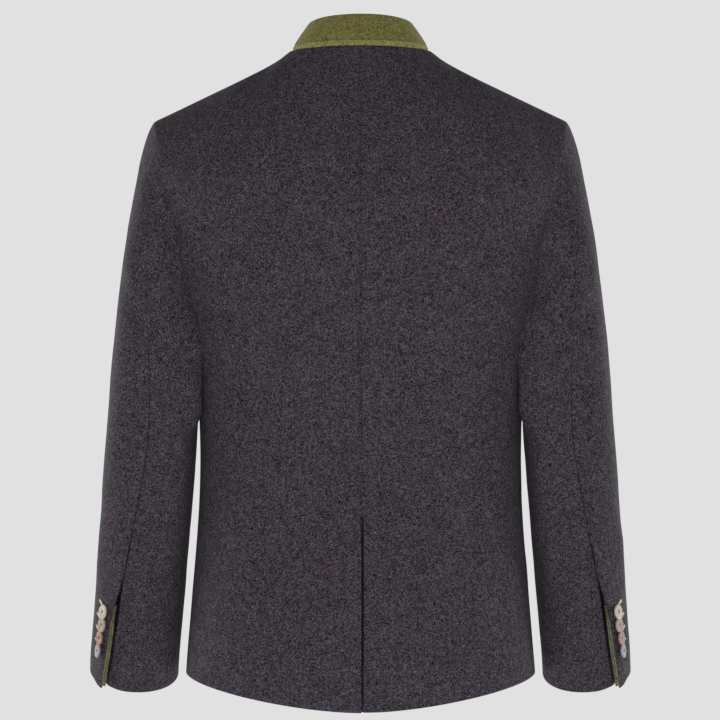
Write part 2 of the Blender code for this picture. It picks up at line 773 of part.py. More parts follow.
def build_collar():
    """The stand: thicker over its seam allowance, with its two front corners rounded."""
    end = collar_end_turn()
    height = (collar_top(0) - collar_base(0)).length
    band = COLLAR_SEAM_BAND / height
    rises = (0.0, band * 0.8, band, 0.45, 0.75, 1.0)
    close = (0.0, 0.18, 0.40, 0.68, 1.0)
    corner_turn = COLLAR_CORNER / ((collar_base(end) - collar_base(end - 0.01)).length / 0.01)
    columns = [column / NECK_COLUMNS for column in range(2 * NECK_COLUMNS)]
    even = [turn for turn in columns if turn < end - corner_turn - 0.03]
    near_end = [end - corner_turn * (1 - share) for share in close]
    half = even + near_end
    turns = [-turn for turn in reversed(half[1:])] + half
    rows = []
    for rise in rises:
        row = []
        for turn in turns:
            from_end = (end - abs(turn)) / corner_turn
            missing = 1 - math.sqrt(max(1 - (1 - min(from_end, 1.0)) ** 2, 0.0))
            local = rise * (1 - missing * COLLAR_CORNER / height)
            point, normal = collar_point(turn, local), collar_normal(turn, local)
            if rise <= band * 0.8 + 1e-9:
                point = point + normal * COLLAR_BAND_RISE
            up = (collar_point(turn, 0.1) - collar_point(turn, 0.0)).normalized()
            row.append((point + up * 0.0005, normal))
        rows.append(row)
    wall("collar", rows, COLLAR_CLOTH, "green_wool")


def build_button(name, radius, height, point, normal, tilt):
    """A turned button: a flat back, a rounded rim and a shallow dish, seated on the cloth. A tilt turns its
    face up, so that its lower edge stands over the button below."""
    profile = (
        (0.0, 0.62 * height),
        (0.52 * radius, 0.70 * height),
        (0.78 * radius, 1.00 * height),
        (0.94 * radius, 0.88 * height),
        (1.00 * radius, 0.50 * height),
        (BUTTON_BACK * radius, 0.0),
        (0.0, 0.0),
    )
    mesh = bmesh.new()
    verts = [mesh.verts.new((x, 0, z)) for x, z in profile]
    edges = [mesh.edges.new(pair) for pair in zip(verts, verts[1:])]
    bmesh.ops.spin(
        mesh, geom=verts + edges, cent=(0, 0, 0), axis=(0, 0, 1), angle=2 * math.pi,
        steps=BUTTON_SIDES, use_merge=True,
    )
    bmesh.ops.remove_doubles(mesh, verts=mesh.verts, dist=0.00001)
    seat = point + normal * (BUTTON_GAP + BUTTON_BACK * radius * math.sin(tilt))
    up = (Vector((0, 0, 1)) - normal * normal.z).normalized()
    face = normal * math.cos(tilt) + up * math.sin(tilt)
    bmesh.ops.transform(
        mesh, verts=mesh.verts,
        matrix=Matrix.Translation(seat) @ face.to_track_quat("Z", "Y").to_matrix().to_4x4(),
    )
    mesh_object(name, mesh, "horn")


def sleeve_at_height(turn, z):
    """How far along the sleeve a height is reached at a turn."""
    top = armhole_point(turn).z - SLEEVE_CAP_DROP
    return 1 + (z - top) / (cuff_height(turn) - top)


def build_buttons():
    for index, turn in enumerate(CUFF_BUTTON_TURNS):
        along = sleeve_at_height(turn, CUFF_BUTTON_FIRST_Z + CUFF_BUTTON_STEP_Z * index)
        place = lifted_place(turn, along)
        for side, flip in (("left", tuple), ("right", mirrored)):
            build_button(
                f"cuff_button_{side}_{index + 1}", CUFF_BUTTON_RADIUS, CUFF_BUTTON_HEIGHT, *flip(place),
                CUFF_BUTTON_TILT,
            )
    for index in range(FRONT_BUTTON_COUNT):
        z = FRONT_BUTTON_FIRST_Z + FRONT_BUTTON_STEP_Z * index
        point, normal = front_centre(z)
        build_button(
            f"front_button_{index + 1}", FRONT_BUTTON_RADIUS, FRONT_BUTTON_HEIGHT,
            point + normal * FRONT_LAP_RISE, normal, 0.0,
        )


def front_centre(z):
    """The centre front line at a height, by halving."""
    low, high = 0.0, 3.0
    for _ in range(40):
        middle = (low + high) / 2
        if body_point(False, 0.0, middle).z < z:
            low = middle
        else:
            high = middle
    return body_point(False, 0.0, low), body_normal(False, 0.0, low)


def clear_scene():
    for old in list(bpy.data.objects):
        bpy.data.objects.remove(old)
    coat = bpy.data.collections.new("trachten_coat")
    bpy.context.scene.collection.children.link(coat)
    for name, finish in FINISHES.items():
        material = bpy.data.materials.new(name)
        material.use_nodes = True
        shader = material.node_tree.nodes["Principled BSDF"]
        shader.inputs["Base Color"].default_value = (*finish.colour, 1)
        shader.inputs["Roughness"].default_value = finish.roughness
        shader.inputs["Metallic"].default_value = finish.metallic


def main():
    clear_scene()
    build_body()
    build_sleeves()
    build_cuff_piping()
    build_collar()
    build_buttons()


main()
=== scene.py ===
"""A trachten coat seen from the back, dressed over its solids: charcoal wool panels with their soft
creases, a green stand collar, and cuffs with a green welt, four buttons and their worked buttonholes.

Metres, +Z up, the back towards +Y and the wearer's left towards +X. The panels follow the same sizes and
sections as the solids that they stand for.
"""

import bisect
import math
from collections import namedtuple

import bpy
from mathutils import Matrix, Vector, noise


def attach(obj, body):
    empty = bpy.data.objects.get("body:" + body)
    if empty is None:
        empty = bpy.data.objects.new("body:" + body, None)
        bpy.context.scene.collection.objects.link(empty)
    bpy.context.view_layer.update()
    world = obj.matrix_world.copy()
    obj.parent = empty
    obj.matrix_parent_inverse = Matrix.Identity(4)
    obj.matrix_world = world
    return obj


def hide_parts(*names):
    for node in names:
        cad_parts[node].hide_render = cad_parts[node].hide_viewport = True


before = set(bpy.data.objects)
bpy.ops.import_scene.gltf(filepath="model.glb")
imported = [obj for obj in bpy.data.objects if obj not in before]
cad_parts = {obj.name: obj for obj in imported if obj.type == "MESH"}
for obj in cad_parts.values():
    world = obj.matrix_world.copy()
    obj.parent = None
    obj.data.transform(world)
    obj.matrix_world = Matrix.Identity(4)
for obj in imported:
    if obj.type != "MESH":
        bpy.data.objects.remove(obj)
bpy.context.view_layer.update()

# A small step, for the slope of a line or the speed along it
STEP = 0.01

# Cloth and seams
CLOTH = 0.0024
COLLAR_CLOTH = 0.0030
CENTRE_SEAM_DEPTH = 0.0015
SIDE_SEAM_DEPTH = 0.0007
ARMHOLE_DEPTH = 0.0003
SLEEVE_SEAM_DEPTH = 0.0011
NECK_SEAM_DEPTH = 0.0042
NECK_VALLEY_WIDTH = 0.0026
SEAM_VALLEY_WIDTH = 0.0021
SMOOTH_TO = 60
EDGE_INSETS = (0.0, 0.0001, 0.0004, 0.0008, 0.0015, 0.0028)
DEEPEST_TURN = 0.0011

# Heights of the levels that the panels are built between
ARMPIT_Z = -0.297
BLADE_Z = -0.180
HEM_BACK_Z = -0.7205
HEM_SIDE_Z = -0.6915
HEM_FRONT_Z = -0.7120
HEM_BACK_POWER = 1.65
HEM_FRONT_POWER = 2.0

# Neck and shoulder
NECK_HALF_WIDTH = 0.0775
NECK_SIDE_Y = -0.005
NECK_BACK_Y = 0.060
NECK_FRONT_Y = -0.083
NECK_BACK_Z = -0.001
NECK_FRONT_Z = -0.078
NECK_DROP_POWER = 1.4
NECK_SHARE = 6 / 13
SHOULDER_X = 0.2280
SHOULDER_SLOPE = math.tan(math.radians(25))
NECK_CURVE_DROP = 0.0078
NECK_CURVE_RUN = 0.020
SHOULDER_LEAN = 0.68
YOKE_FULLNESS = 0.16
ARMHOLE_TURNS = {True: 0.666, False: 0.70}
ARMHOLE_SCOOPS = {True: 0.60, False: 1.0}

# Columns and rows of the fine panels
BODY_COLUMNS = 52
SKIRT_ROWS = 78
SCOOP_ROWS = 30
YOKE_ROWS = 36
SKIRT_LENGTH = 0.42
YOKE_LENGTH = 0.20
LEVEL_GAP = 0.004
TOP_SLEEVE_COLUMNS = 46
UNDER_SLEEVE_COLUMNS = 34
SLEEVE_CAP_ROWS = 18
SLEEVE_ROWS = 104
SLEEVE_FIRST_ROWS = [0.0, 0.004, 0.010]
ARM_LENGTH = 0.52
COLLAR_COLUMNS = 120
COLLAR_ROWS_MM = (
    3.4, 3.8, 4.2, 4.6, 5.0, 5.4, 5.8, 6.3, 6.9, 7.8, 9.0, 10.5, 13, 16, 19, 22, 25, 28, 31,
)
TAB_COLUMNS = 6
VENT_COLUMNS = (0.0014, 0.0020, 0.0024, 0.0028, 0.0032, 0.0037, 0.0046)
GROOVE_COLUMNS = (0.35, 0.7, 0.88, 1.0, 1.12, 1.3)

# Centre back vent and front overlap
VENT_LEVEL = 0.50
VENT_LAP = 0.0010
VENT_TAB = 0.040
LAP_DEPTH = 0.0034
VENT_GROOVE = 0.0160
VENT_GROOVE_X = 0.0020
VENT_GROOVE_WALL = 0.0016
VENT_EASE_X = 0.030
FRONT_LAP = 0.020
FRONT_LAP_RISE = 0.0017
FRONT_LAP_FADE = 0.050
FRONT_CORNER_RADIUS = 0.014

# Starts and runs of what changes up the body: the vent's parts by level, the cloth held still by its seams
VENT_CLOSES_LEFT = (VENT_LEVEL, 0.015)
VENT_CLOSES_RIGHT = (VENT_LEVEL, 0.10)
VENT_LAPS = (VENT_LEVEL, -0.10)
VENT_OPENS = (VENT_LEVEL + 0.01, -0.06)
STILL_BY_SIDE = (1, -0.06)
STILL_BY_CENTRE = (0, 0.05)
STILL_BY_TOP = (3, -0.15)

# Sleeve
SLEEVE_CAP_DROP = 0.052
SLEEVE_HEAD_SLOPE = 0.0027
HIND_SEAM_LEVEL = 2.0
FOREARM_SEAM_LEVEL = 1.8
FOREARM_SEAM = 217.0
FOREARM_SEAM_SETTLE = 0.25
CUFF_Z = -0.6980
CUFF_BACK_DROP = 0.0180
CUFF_SIDE_RISE = 0.0045
CUFF_VENT_TOP = 1 + 12 / 17
CUFF_VENT_LAP_TURN = 24.0
CUFF_VENT_LIFT = 0.0032
CUFF_VENT_EASE_TURN = 24.0
CUFF_CORNER_DROP = 0.0022
CUFF_LAP_DEPTH = 0.0032
CUFF_GROOVE = 0.0190
CUFF_EDGE_BACK = 0.0021
PRESSED_IN = 0.0200
PRESSED_TURN = 297
PRESSED_SPREAD = 17
SHARED_NORMALS_TO = 0.08
WELT_START = 0.36
WELT_END = 0.978
WELT_STEPS = 60
SLEEVE_SQUARENESS = 4.2

# Starts and runs of what changes down the sleeve: by height, by share along it, and by share of its vent
SQUARE_FROM = (-0.14, -0.10)
ROUND_FROM = (-0.48, -0.14)
CUFF_ROUNDNESS = 0.8
PRESSED_FROM = (-0.238, -0.078)
PRESSED_FULL = (-0.385, 0.060)
PRESSED_TO = (-0.433, 0.036)
HIND_SEAM_DEEPENS = (1.12, 0.25)
CUFF_CORNER = (1.94, 0.06)
GROOVE_OPENS = (0.06, 0.36)
GROOVE_CLOSES = (0.72, 0.27)
GROOVE_WIDENS = (0.22, 0.30)
GROOVE_WIDENS_MORE = (0.58, 0.2)

# The same, by degrees from a seam, which holds the sleeve's cloth still
STILL_BY_HIND_SEAM = (0, 12)
STILL_BY_FOREARM_SEAM = (0, 10)
STILL_BY_VENT = (30, 20)

# Collar
COLLAR_TOP_HALF_WIDTH = 0.0592
COLLAR_TOP_BACK_Y = 0.0515
COLLAR_TOP_FRONT_Y = -0.0770
COLLAR_TOP_BACK_Z = 0.0345
COLLAR_TOP_SIDE_Z = 0.0245
COLLAR_TOP_FRONT_Z = -0.0470
COLLAR_TOP_POWER = 0.5
COLLAR_SEAM_BAND = 0.0057
COLLAR_BAND_RISE = 0.0007
COLLAR_OVERLAP = 0.0012
COLLAR_FOOT_IN = 0.0026
COLLAR_END_GAP = 0.0020
COLLAR_CORNER = 0.015
COLLAR_STITCH = 0.0037
COLLAR_STITCH_LINE = COLLAR_SEAM_BAND - 0.0012
COLLAR_STITCH_END = 0.03
COLLAR_FULLNESS = 0.0012
COLLAR_BAND_ENDS = (COLLAR_SEAM_BAND - 0.0008, 0.0026)
# How far from the collar's seam its painted highlight reaches, and the run over which it fades
COLLAR_HIGHLIGHT_ENDS = (0.0036, 0.0018)
COLLAR_DENT = 0.00012
COLLAR_DENT_WIDTH = 0.0006
COLLAR_SIDE_WIDTH = 0.34
COLLAR_FOOT_HEIGHT = 0.010
COLLAR_OVERLAP_HEIGHT = 0.0045

# Buttons
CUFF_BUTTON_RADIUS = 0.0083
CUFF_BUTTON_HEIGHT = 0.0026
CUFF_BUTTON_TILT = math.radians(12)
CUFF_BUTTON_FIRST_Z = -0.6230
CUFF_BUTTON_STEP_Z = -0.0149
CUFF_BUTTON_TURNS = (40.8, 40.4, 42.0, 42.8)
CUFF_BUTTON_YAWS = (6, 5, 8, 13)
FRONT_BUTTON_RADIUS = 0.0108
FRONT_BUTTON_HEIGHT = 0.0040
FRONT_BUTTON_COUNT = 5
FRONT_BUTTON_FIRST_Z = -0.115
FRONT_BUTTON_STEP_Z = -0.100
BUTTON_BACK = 0.84
BUTTON_GAP = 0.0003
BUTTON_SPINS = (0.3, 1.1, 0.7, 0.1)
FRONT_BUTTON_SPIN = 0.2
FRONT_BUTTON_SPIN_STEP = 0.37
HOLE_SPREAD = 0.17
HOLE_RADIUS = 0.055
DISH_HEIGHT = 0.87
THREAD_RADIUS = 0.050

# A button's rings from its back to the middle of its dish: radius and height, as shares of the button's
BUTTON_PROFILE = (
    (0.90, 0.08), (0.965, 0.25), (1.00, 0.50), (0.995, 0.66), (0.96, 0.83), (0.90, 0.95), (0.83, 1.00),
    (0.76, 0.98), (0.70, 0.94), (0.64, 0.90), (0.55, 0.88), (0.40, DISH_HEIGHT),
)

# Its strands of thread: the two holes that each joins, how high it rises, and how far to the side it lies
BUTTON_STRANDS = ((0, 2, 0.34, 0.035), (1, 3, 0.20, 0.035), (0, 2, 0.30, -0.035), (1, 3, 0.16, -0.035))

# The stitches of the collar: their shares of a step along the seam, and each bead's size there
STITCH_SHARES = (0.16, 0.32, 0.48, 0.64, 0.80)
STITCH_SIZES = (0.35, 0.85, 1.0, 0.85, 0.35)
STITCH_THREAD = 0.00080
STITCH_SIDES = 6

# The welt's two rolls: how far each lies from the seam and how deep, and its radius
WELT_ROLLS = ((0.0008, 0.0003, 0.0011), (0.0026, -0.0010, 0.0011))

Ring = namedtuple("Ring", "z half_width back front back_corner front_corner")
TORSO = [Ring(*row) for row in (
    (-0.730, 0.1955, 0.1190, 0.1270, 0.670, 0.62),
    (-0.690, 0.1940, 0.1185, 0.1265, 0.675, 0.62),
    (-0.640, 0.1902, 0.1165, 0.1255, 0.680, 0.62),
    (-0.585, 0.1856, 0.1120, 0.1235, 0.690, 0.62),
    (-0.530, 0.1812, 0.1060, 0.1210, 0.700, 0.62),
    (-0.478, 0.1788, 0.1010, 0.1195, 0.710, 0.62),
    (-0.430, 0.1787, 0.0990, 0.1200, 0.725, 0.62),
    (-0.370, 0.1817, 0.1030, 0.1245, 0.740, 0.63),
    (-0.310, 0.1885, 0.1120, 0.1295, 0.75, 0.64),
    (-0.250, 0.2085, 0.1185, 0.1275, 0.73, 0.65),
    (-0.180, 0.2310, 0.1205, 0.1160, 0.70, 0.66),
    (-0.120, 0.2460, 0.1170, 0.1010, 0.70, 0.66),
)]

Cut = namedtuple("Cut", "z inner outer back front")
SLEEVE = [Cut(*row) for row in (
    (-0.070, 0.1900, 0.2385, 0.0080, -0.0200),
    (-0.085, 0.1900, 0.2400, 0.0230, -0.0350),
    (-0.110, 0.1890, 0.2436, 0.0400, -0.0500),
    (-0.145, 0.1920, 0.2495, 0.0570, -0.0640),
    (-0.190, 0.1930, 0.2568, 0.0690, -0.0730),
    (-0.250, 0.1950, 0.2645, 0.0740, -0.0770),
    (-0.310, 0.1897, 0.2718, 0.0735, -0.0765),
    (-0.360, 0.1836, 0.2768, 0.0710, -0.0735),
    (-0.411, 0.1812, 0.2804, 0.0680, -0.0690),
    (-0.465, 0.1843, 0.2849, 0.0640, -0.0660),
    (-0.518, 0.1890, 0.2888, 0.0560, -0.0680),
    (-0.572, 0.1942, 0.2943, 0.0440, -0.0740),
    (-0.625, 0.1994, 0.2998, 0.0280, -0.0830),
    (-0.679, 0.2054, 0.3055, 0.0080, -0.0950),
    (-0.730, 0.2085, 0.3080, -0.0110, -0.1070),
)]

SeamTurn = namedtuple("SeamTurn", "share turn")
HIND_SEAM = [SeamTurn(*row) for row in (
    (0.00, 3.0),
    (0.18, -0.5),
    (0.34, -1.6),
    (0.46, 0.8),
    (0.59, 8.5),
    (0.72, 17.0),
    (0.79, 22.3),
    (0.86, 27.7),
    (0.93, 32.4),
    (1.00, 39.0),
)]

# Soft creases: from one point of the cloth to another, how wide, and how far they rise or, below 0, sink
Crease = namedtuple("Crease", "x z end_x end_z width rise")
BACK_CREASES = [Crease(*row) for row in (
    (0.110, -0.045, 0.124, -0.135, 0.017, 0.0012),
    (-0.110, -0.045, -0.124, -0.135, 0.017, 0.0012),
    (0.100, -0.105, 0.168, -0.212, 0.015, 0.0011),
    (0.104, -0.176, 0.134, -0.250, 0.013, -0.0010),
    (0.078, -0.215, 0.079, -0.338, 0.017, -0.0011),
    (0.022, -0.225, 0.030, -0.300, 0.014, -0.0007),
    (-0.052, -0.125, -0.010, -0.200, 0.012, 0.0009),
    (-0.048, -0.170, -0.056, -0.245, 0.011, -0.0007),
    (-0.156, -0.205, -0.080, -0.292, 0.015, -0.0011),
    (-0.120, -0.125, -0.166, -0.200, 0.014, 0.0008),
    (0.128, -0.408, 0.034, -0.438, 0.011, 0.0007),
    (-0.030, -0.438, -0.108, -0.402, 0.011, 0.0007),
    (0.076, -0.425, 0.074, -0.566, 0.014, 0.0015),
    (0.040, -0.470, 0.066, -0.660, 0.014, -0.0015),
    (0.013, -0.420, 0.012, -0.600, 0.009, 0.0007),
    (0.142, -0.540, 0.145, -0.668, 0.017, 0.0009),
    (-0.046, -0.425, -0.038, -0.636, 0.013, 0.0014),
    (-0.021, -0.495, -0.018, -0.575, 0.009, -0.0007),
    (-0.084, -0.575, -0.093, -0.690, 0.016, -0.0014),
    (-0.128, -0.500, -0.130, -0.655, 0.016, 0.0009),
)]
FRONT_CREASES = [Crease(*row) for row in (
    (0.120, -0.120, 0.158, -0.215, 0.015, 0.0010),
    (0.098, -0.185, 0.128, -0.262, 0.014, -0.0011),
    (0.030, -0.225, 0.082, -0.262, 0.012, -0.0008),
    (-0.112, -0.130, -0.160, -0.208, 0.015, 0.0009),
    (-0.090, -0.200, -0.132, -0.275, 0.014, -0.0010),
    (-0.034, -0.330, -0.092, -0.352, 0.012, -0.0008),
    (0.036, -0.418, 0.112, -0.398, 0.011, 0.0009),
    (0.030, -0.428, 0.074, -0.462, 0.010, -0.0008),
    (-0.036, -0.422, -0.118, -0.405, 0.011, 0.0008),
    (0.066, -0.470, 0.072, -0.652, 0.015, -0.0014),
    (0.102, -0.460, 0.108, -0.610, 0.015, 0.0013),
    (-0.058, -0.480, -0.052, -0.668, 0.014, 0.0013),
    (-0.094, -0.500, -0.099, -0.690, 0.016, -0.0014),
    (-0.140, -0.470, -0.143, -0.600, 0.016, 0.0008),
)]

# The same on a sleeve, by the turn round it in degrees and the height
ArmCrease = namedtuple("ArmCrease", "turn z end_turn end_z width rise")
LEFT_ARM_CREASES = [ArmCrease(*row) for row in (
    (62, -0.225, -28, -0.292, 0.012, 0.0007),
    (58, -0.262, -52, -0.352, 0.012, -0.0010),
    (-10, -0.330, -72, -0.380, 0.011, 0.0008),
    (34, -0.425, -66, -0.470, 0.012, -0.0009),
    (52, -0.455, -12, -0.500, 0.011, 0.0008),
    (4, -0.520, -36, -0.600, 0.012, -0.0009),
    (70, -0.500, 62, -0.610, 0.012, 0.0007),
    (128, -0.205, 205, -0.292, 0.014, -0.0012),
    (118, -0.330, 196, -0.362, 0.012, 0.0009),
    (140, -0.408, 248, -0.428, 0.010, -0.0021),
    (132, -0.434, 236, -0.452, 0.009, 0.0016),
    (146, -0.466, 256, -0.474, 0.010, -0.0023),
    (150, -0.508, 226, -0.500, 0.010, -0.0014),
    (120, -0.560, 210, -0.600, 0.012, -0.0009),
)]
RIGHT_ARM_CREASES = [ArmCrease(*row) for row in (
    (66, -0.240, -20, -0.300, 0.012, 0.0007),
    (54, -0.276, -48, -0.340, 0.012, -0.0010),
    (-4, -0.345, -70, -0.392, 0.011, 0.0008),
    (40, -0.415, -60, -0.462, 0.012, -0.0009),
    (48, -0.448, -16, -0.488, 0.011, 0.0007),
    (0, -0.508, -40, -0.590, 0.012, -0.0009),
    (72, -0.520, 60, -0.612, 0.012, 0.0008),
    (122, -0.215, 200, -0.285, 0.014, -0.0011),
    (126, -0.345, 190, -0.350, 0.012, 0.0008),
    (136, -0.400, 242, -0.422, 0.010, -0.0022),
    (138, -0.430, 232, -0.440, 0.009, 0.0015),
    (142, -0.458, 250, -0.470, 0.010, -0.0021),
    (148, -0.500, 230, -0.508, 0.010, -0.0015),
    (124, -0.572, 206, -0.590, 0.012, -0.0008),
)]
ARM_METRES_PER_DEGREE = 0.00105
CREASE_STRENGTH = 2.3

# Buttonholes of a cuff run from outside the button, slanting down towards it
CUFF_HOLE_FAR = (0.0130, 0.0146)
CUFF_HOLE_NEAR = (0.0056, 0.0078)
CUFF_HOLE_OUTER = (0.0, 0.0032, 0.0014, 0.0)
FRONT_HOLE_ENDS = (-0.0030, 0.0210)
HOLE_HALF_WIDTH = 0.0008
HOLE_THREAD = 0.00055
HOLE_STEPS = 9

# The pieces' cut: across and along the grain, and the area of cloth
Pattern = namedtuple("Pattern", "width length area")
PATTERNS = {
    "back": Pattern(0.285, 0.740, 0.186),
    "front": Pattern(0.300, 0.730, 0.190),
    "top_sleeve": Pattern(0.215, 0.655, 0.118),
    "under_sleeve": Pattern(0.160, 0.640, 0.075),
    "collar": Pattern(0.480, 0.050, 0.017),
}

SIDES = (("left", 1), ("right", -1))


def curve_through(keys, values):
    """One smooth curve through these values, as a function of the key."""
    if keys[0] > keys[-1]:
        keys, values = keys[::-1], values[::-1]
    slopes = []
    for i in range(len(keys)):
        before, after = max(i - 1, 0), min(i + 1, len(keys) - 1)
        slopes.append((values[after] - values[before]) / (keys[after] - keys[before]))

    def at(key):
        key = min(max(key, keys[0]), keys[-1])
        low = min(bisect.bisect_right(keys, key) - 1, len(keys) - 2)
        step = keys[low + 1] - keys[low]
        share = (key - keys[low]) / step
        return hermite(values[low], slopes[low] * step, values[low + 1], slopes[low + 1] * step, share)

    return at


def hermite(start, leave, end, arrive, share):
    square, cube = share * share, share ** 3
    return (
        start * (2 * cube - 3 * square + 1)
        + leave * (cube - 2 * square + share)
        + end * (3 * square - 2 * cube)
        + arrive * (cube - square)
    )


def table_curves(table):
    """Each column of a table as a smooth function of its first one."""
    keys, *columns = zip(*table)
    return {name: curve_through(keys, column) for name, column in zip(table[0]._fields[1:], columns)}


TORSO_LINES = table_curves(TORSO)
SLEEVE_LINES = table_curves(SLEEVE)
HIND_SEAM_LINE = table_curves(HIND_SEAM)["turn"]


def ease(share):
    """0 below 0, 1 above 1, and a soft step between."""
    share = min(max(share, 0.0), 1.0)
    return share * share * (3 - 2 * share)


def ramp(value, start, run):
    """0 up to the start, and a soft rise to 1 over the run. With a run below 0 it rises downwards."""
    return ease((value - start) / run)


def ring_point(back, turn, z):
    """The torso's surface at a height. turn is 0 at the centre line and 1 at the side."""
    half_width = TORSO_LINES["half_width"](z)
    depth = TORSO_LINES["back" if back else "front"](z)
    corner = TORSO_LINES["back_corner" if back else "front_corner"](z)
    rest = 1 - turn
    x = half_width * (3 * rest * rest * turn * corner + 3 * rest * turn * turn + turn ** 3)
    y = depth * (rest ** 3 + 3 * rest * rest * turn + 3 * rest * turn * turn * corner)
    return Vector((x, y if back else -y, z))


def neckline(back, turn):
    """The neck seam of the body: turn 0 at the centre line and 1 at the shoulder seam."""
    angle = turn * math.pi / 2
    centre_y = NECK_BACK_Y if back else NECK_FRONT_Y
    y = NECK_SIDE_Y + (centre_y - NECK_SIDE_Y) * math.cos(angle)
    centre_z = NECK_BACK_Z if back else NECK_FRONT_Z
    z = centre_z * max(math.cos(angle), 0.0) ** NECK_DROP_POWER
    return Vector((NECK_HALF_WIDTH * math.sin(angle), y, z))


def shoulder_point(share):
    """The shoulder seam, from the neck to the sleeve."""
    run = share * (SHOULDER_X - NECK_HALF_WIDTH)
    z = -SHOULDER_SLOPE * run - NECK_CURVE_DROP * (1 - math.exp(-run / NECK_CURVE_RUN))
    return Vector((NECK_HALF_WIDTH + run, NECK_SIDE_Y, z))


def top_line(back, across):
    """The upper edge of a body panel: the neck seam, then the shoulder seam."""
    if across <= NECK_SHARE:
        return neckline(back, across / NECK_SHARE)
    return shoulder_point((across - NECK_SHARE) / (1 - NECK_SHARE))


def top_direction(back, across):
    """The way in which the cloth reaches the upper edge."""
    forward = -1 if back else 1
    share = max(across - NECK_SHARE, 0.0) / (1 - NECK_SHARE)
    seam = (shoulder_point(min(share + 0.01, 1.01)) - shoulder_point(share)).normalized()
    lean = SHOULDER_LEAN * (1 - ease(share / 0.5))
    at_seam = (-lean * seam + Vector((0, forward * math.sqrt(1 - lean * lean), 0))).normalized()
    if across >= NECK_SHARE:
        return at_seam
    at_centre = Vector((0, -0.42, 0.91)) if back else Vector((0, 0.26, 0.97))
    blend = ease(abs(across) / NECK_SHARE)
    return (at_centre * (1 - blend) + at_seam * blend).normalized()


def yoke_point(back, across, rise):
    """The torso above the blade level. across is 0 at the centre and 1 at the armhole; rise is 0 to 1."""
    turn = across * ARMHOLE_TURNS[back]
    start = ring_point(back, turn, BLADE_Z)
    end = top_line(back, across)
    climb = ring_point(back, turn, BLADE_Z + 0.004) - ring_point(back, turn, BLADE_Z - 0.004)
    reach = (end - start).length * (1.0 + YOKE_FULLNESS * ease(abs(across) / 0.5))
    return hermite(start, climb.normalized() * reach, end, top_direction(back, across) * reach, rise)


def hem_height(back, turn):
    """The hem's height at a turn round the torso: lowest at the centre line, highest at the side."""
    side = ring_point(back, 1.0, HEM_SIDE_Z).x
    share = min(abs(ring_point(back, turn, HEM_SIDE_Z).x) / side, 1.0)
    centre, power = (HEM_BACK_Z, HEM_BACK_POWER) if back else (HEM_FRONT_Z, HEM_FRONT_POWER)
    return centre + (HEM_SIDE_Z - centre) * share ** power


def body_turn_and_height(back, across, level):
    """The turn and height of a panel's point: level 0 at the hem, 1 at the armpit and 2 at the blades."""
    if level <= 1:
        hem = hem_height(back, across)
        return across, hem + (ARMPIT_Z - hem) * level
    angle = (level - 1) * math.pi / 2
    edge = 1 - (1 - ARMHOLE_TURNS[back]) * math.sin(angle) ** ARMHOLE_SCOOPS[back]
    return across * edge, ARMPIT_Z + (BLADE_Z - ARMPIT_Z) * (1 - math.cos(angle))


def body_point(back, across, level):
    """A point on the outer face of the left half of the body, for level 0 at the hem to 3 at the top."""
    if level > 2:
        return yoke_point(back, across, level - 2)
    return ring_point(back, *body_turn_and_height(back, across, level))


def body_normal(back, across, level):
    """The outward normal there."""
    step = 0.002
    if level > 2:
        rise = level - 2
        left = across - step if abs(across - NECK_SHARE) > step else across
        right = min(across + step, 1.0)
        along = yoke_point(back, right, rise) - yoke_point(back, min(left, right - step), rise)
        up = yoke_point(back, across, min(rise + step, 1.0)) - yoke_point(back, across, rise - step)
    else:
        turn, z = body_turn_and_height(back, across, level)
        along = ring_point(back, min(turn + step, 1.0), z) - ring_point(back, turn - step, z)
        up = ring_point(back, turn, z + step) - ring_point(back, turn, z - step)
    normal = along.cross(up).normalized()
    if normal.dot(Vector((2 * across, 1 if back else -1, 0.4))) < 0:
        normal.negate()
    if abs(across) < 1e-6:
        normal.x = 0
        normal.normalize()
    return normal


def armhole_edge(back):
    """Points and normals along the body's armhole from the armpit up, with lengths and levels."""
    levels = [1 + 2 * (i / 260) ** 1.6 for i in range(261)]
    points = [body_point(back, 1.0, level) for level in levels]
    normals = [body_normal(back, 1.0, level) for level in levels]
    lengths = [0.0]
    for first, second in zip(points, points[1:]):
        lengths.append(lengths[-1] + (second - first).length)
    return points, normals, lengths, levels


ARMHOLE = {back: armhole_edge(back) for back in (True, False)}


def armhole_place(turn):
    """The armhole's edge and the body's normal there, by the turn round the sleeve: 0 back, 90 shoulder,
    180 front, 270 armpit."""
    turn = (turn + 90) % 360 - 90
    back = turn <= 90
    points, normals, lengths, _ = ARMHOLE[back]
    share = (turn + 90) / 180 if back else (270 - turn) / 180
    along = share * lengths[-1]
    low = min(bisect.bisect_right(lengths, along) - 1, len(points) - 2)
    part = (along - lengths[low]) / (lengths[low + 1] - lengths[low])
    return points[low].lerp(points[low + 1], part), normals[low].lerp(normals[low + 1], part).normalized()


def armhole_turn(back, level):
    """The turn round the sleeve of a level on the armhole."""
    _, _, lengths, levels = ARMHOLE[back]
    low = min(bisect.bisect_right(levels, level) - 1, len(levels) - 2)
    part = (level - levels[low]) / (levels[low + 1] - levels[low])
    share = (lengths[low] + (lengths[low + 1] - lengths[low]) * part) / lengths[-1]
    return 180 * share - 90 if back else 270 - 180 * share


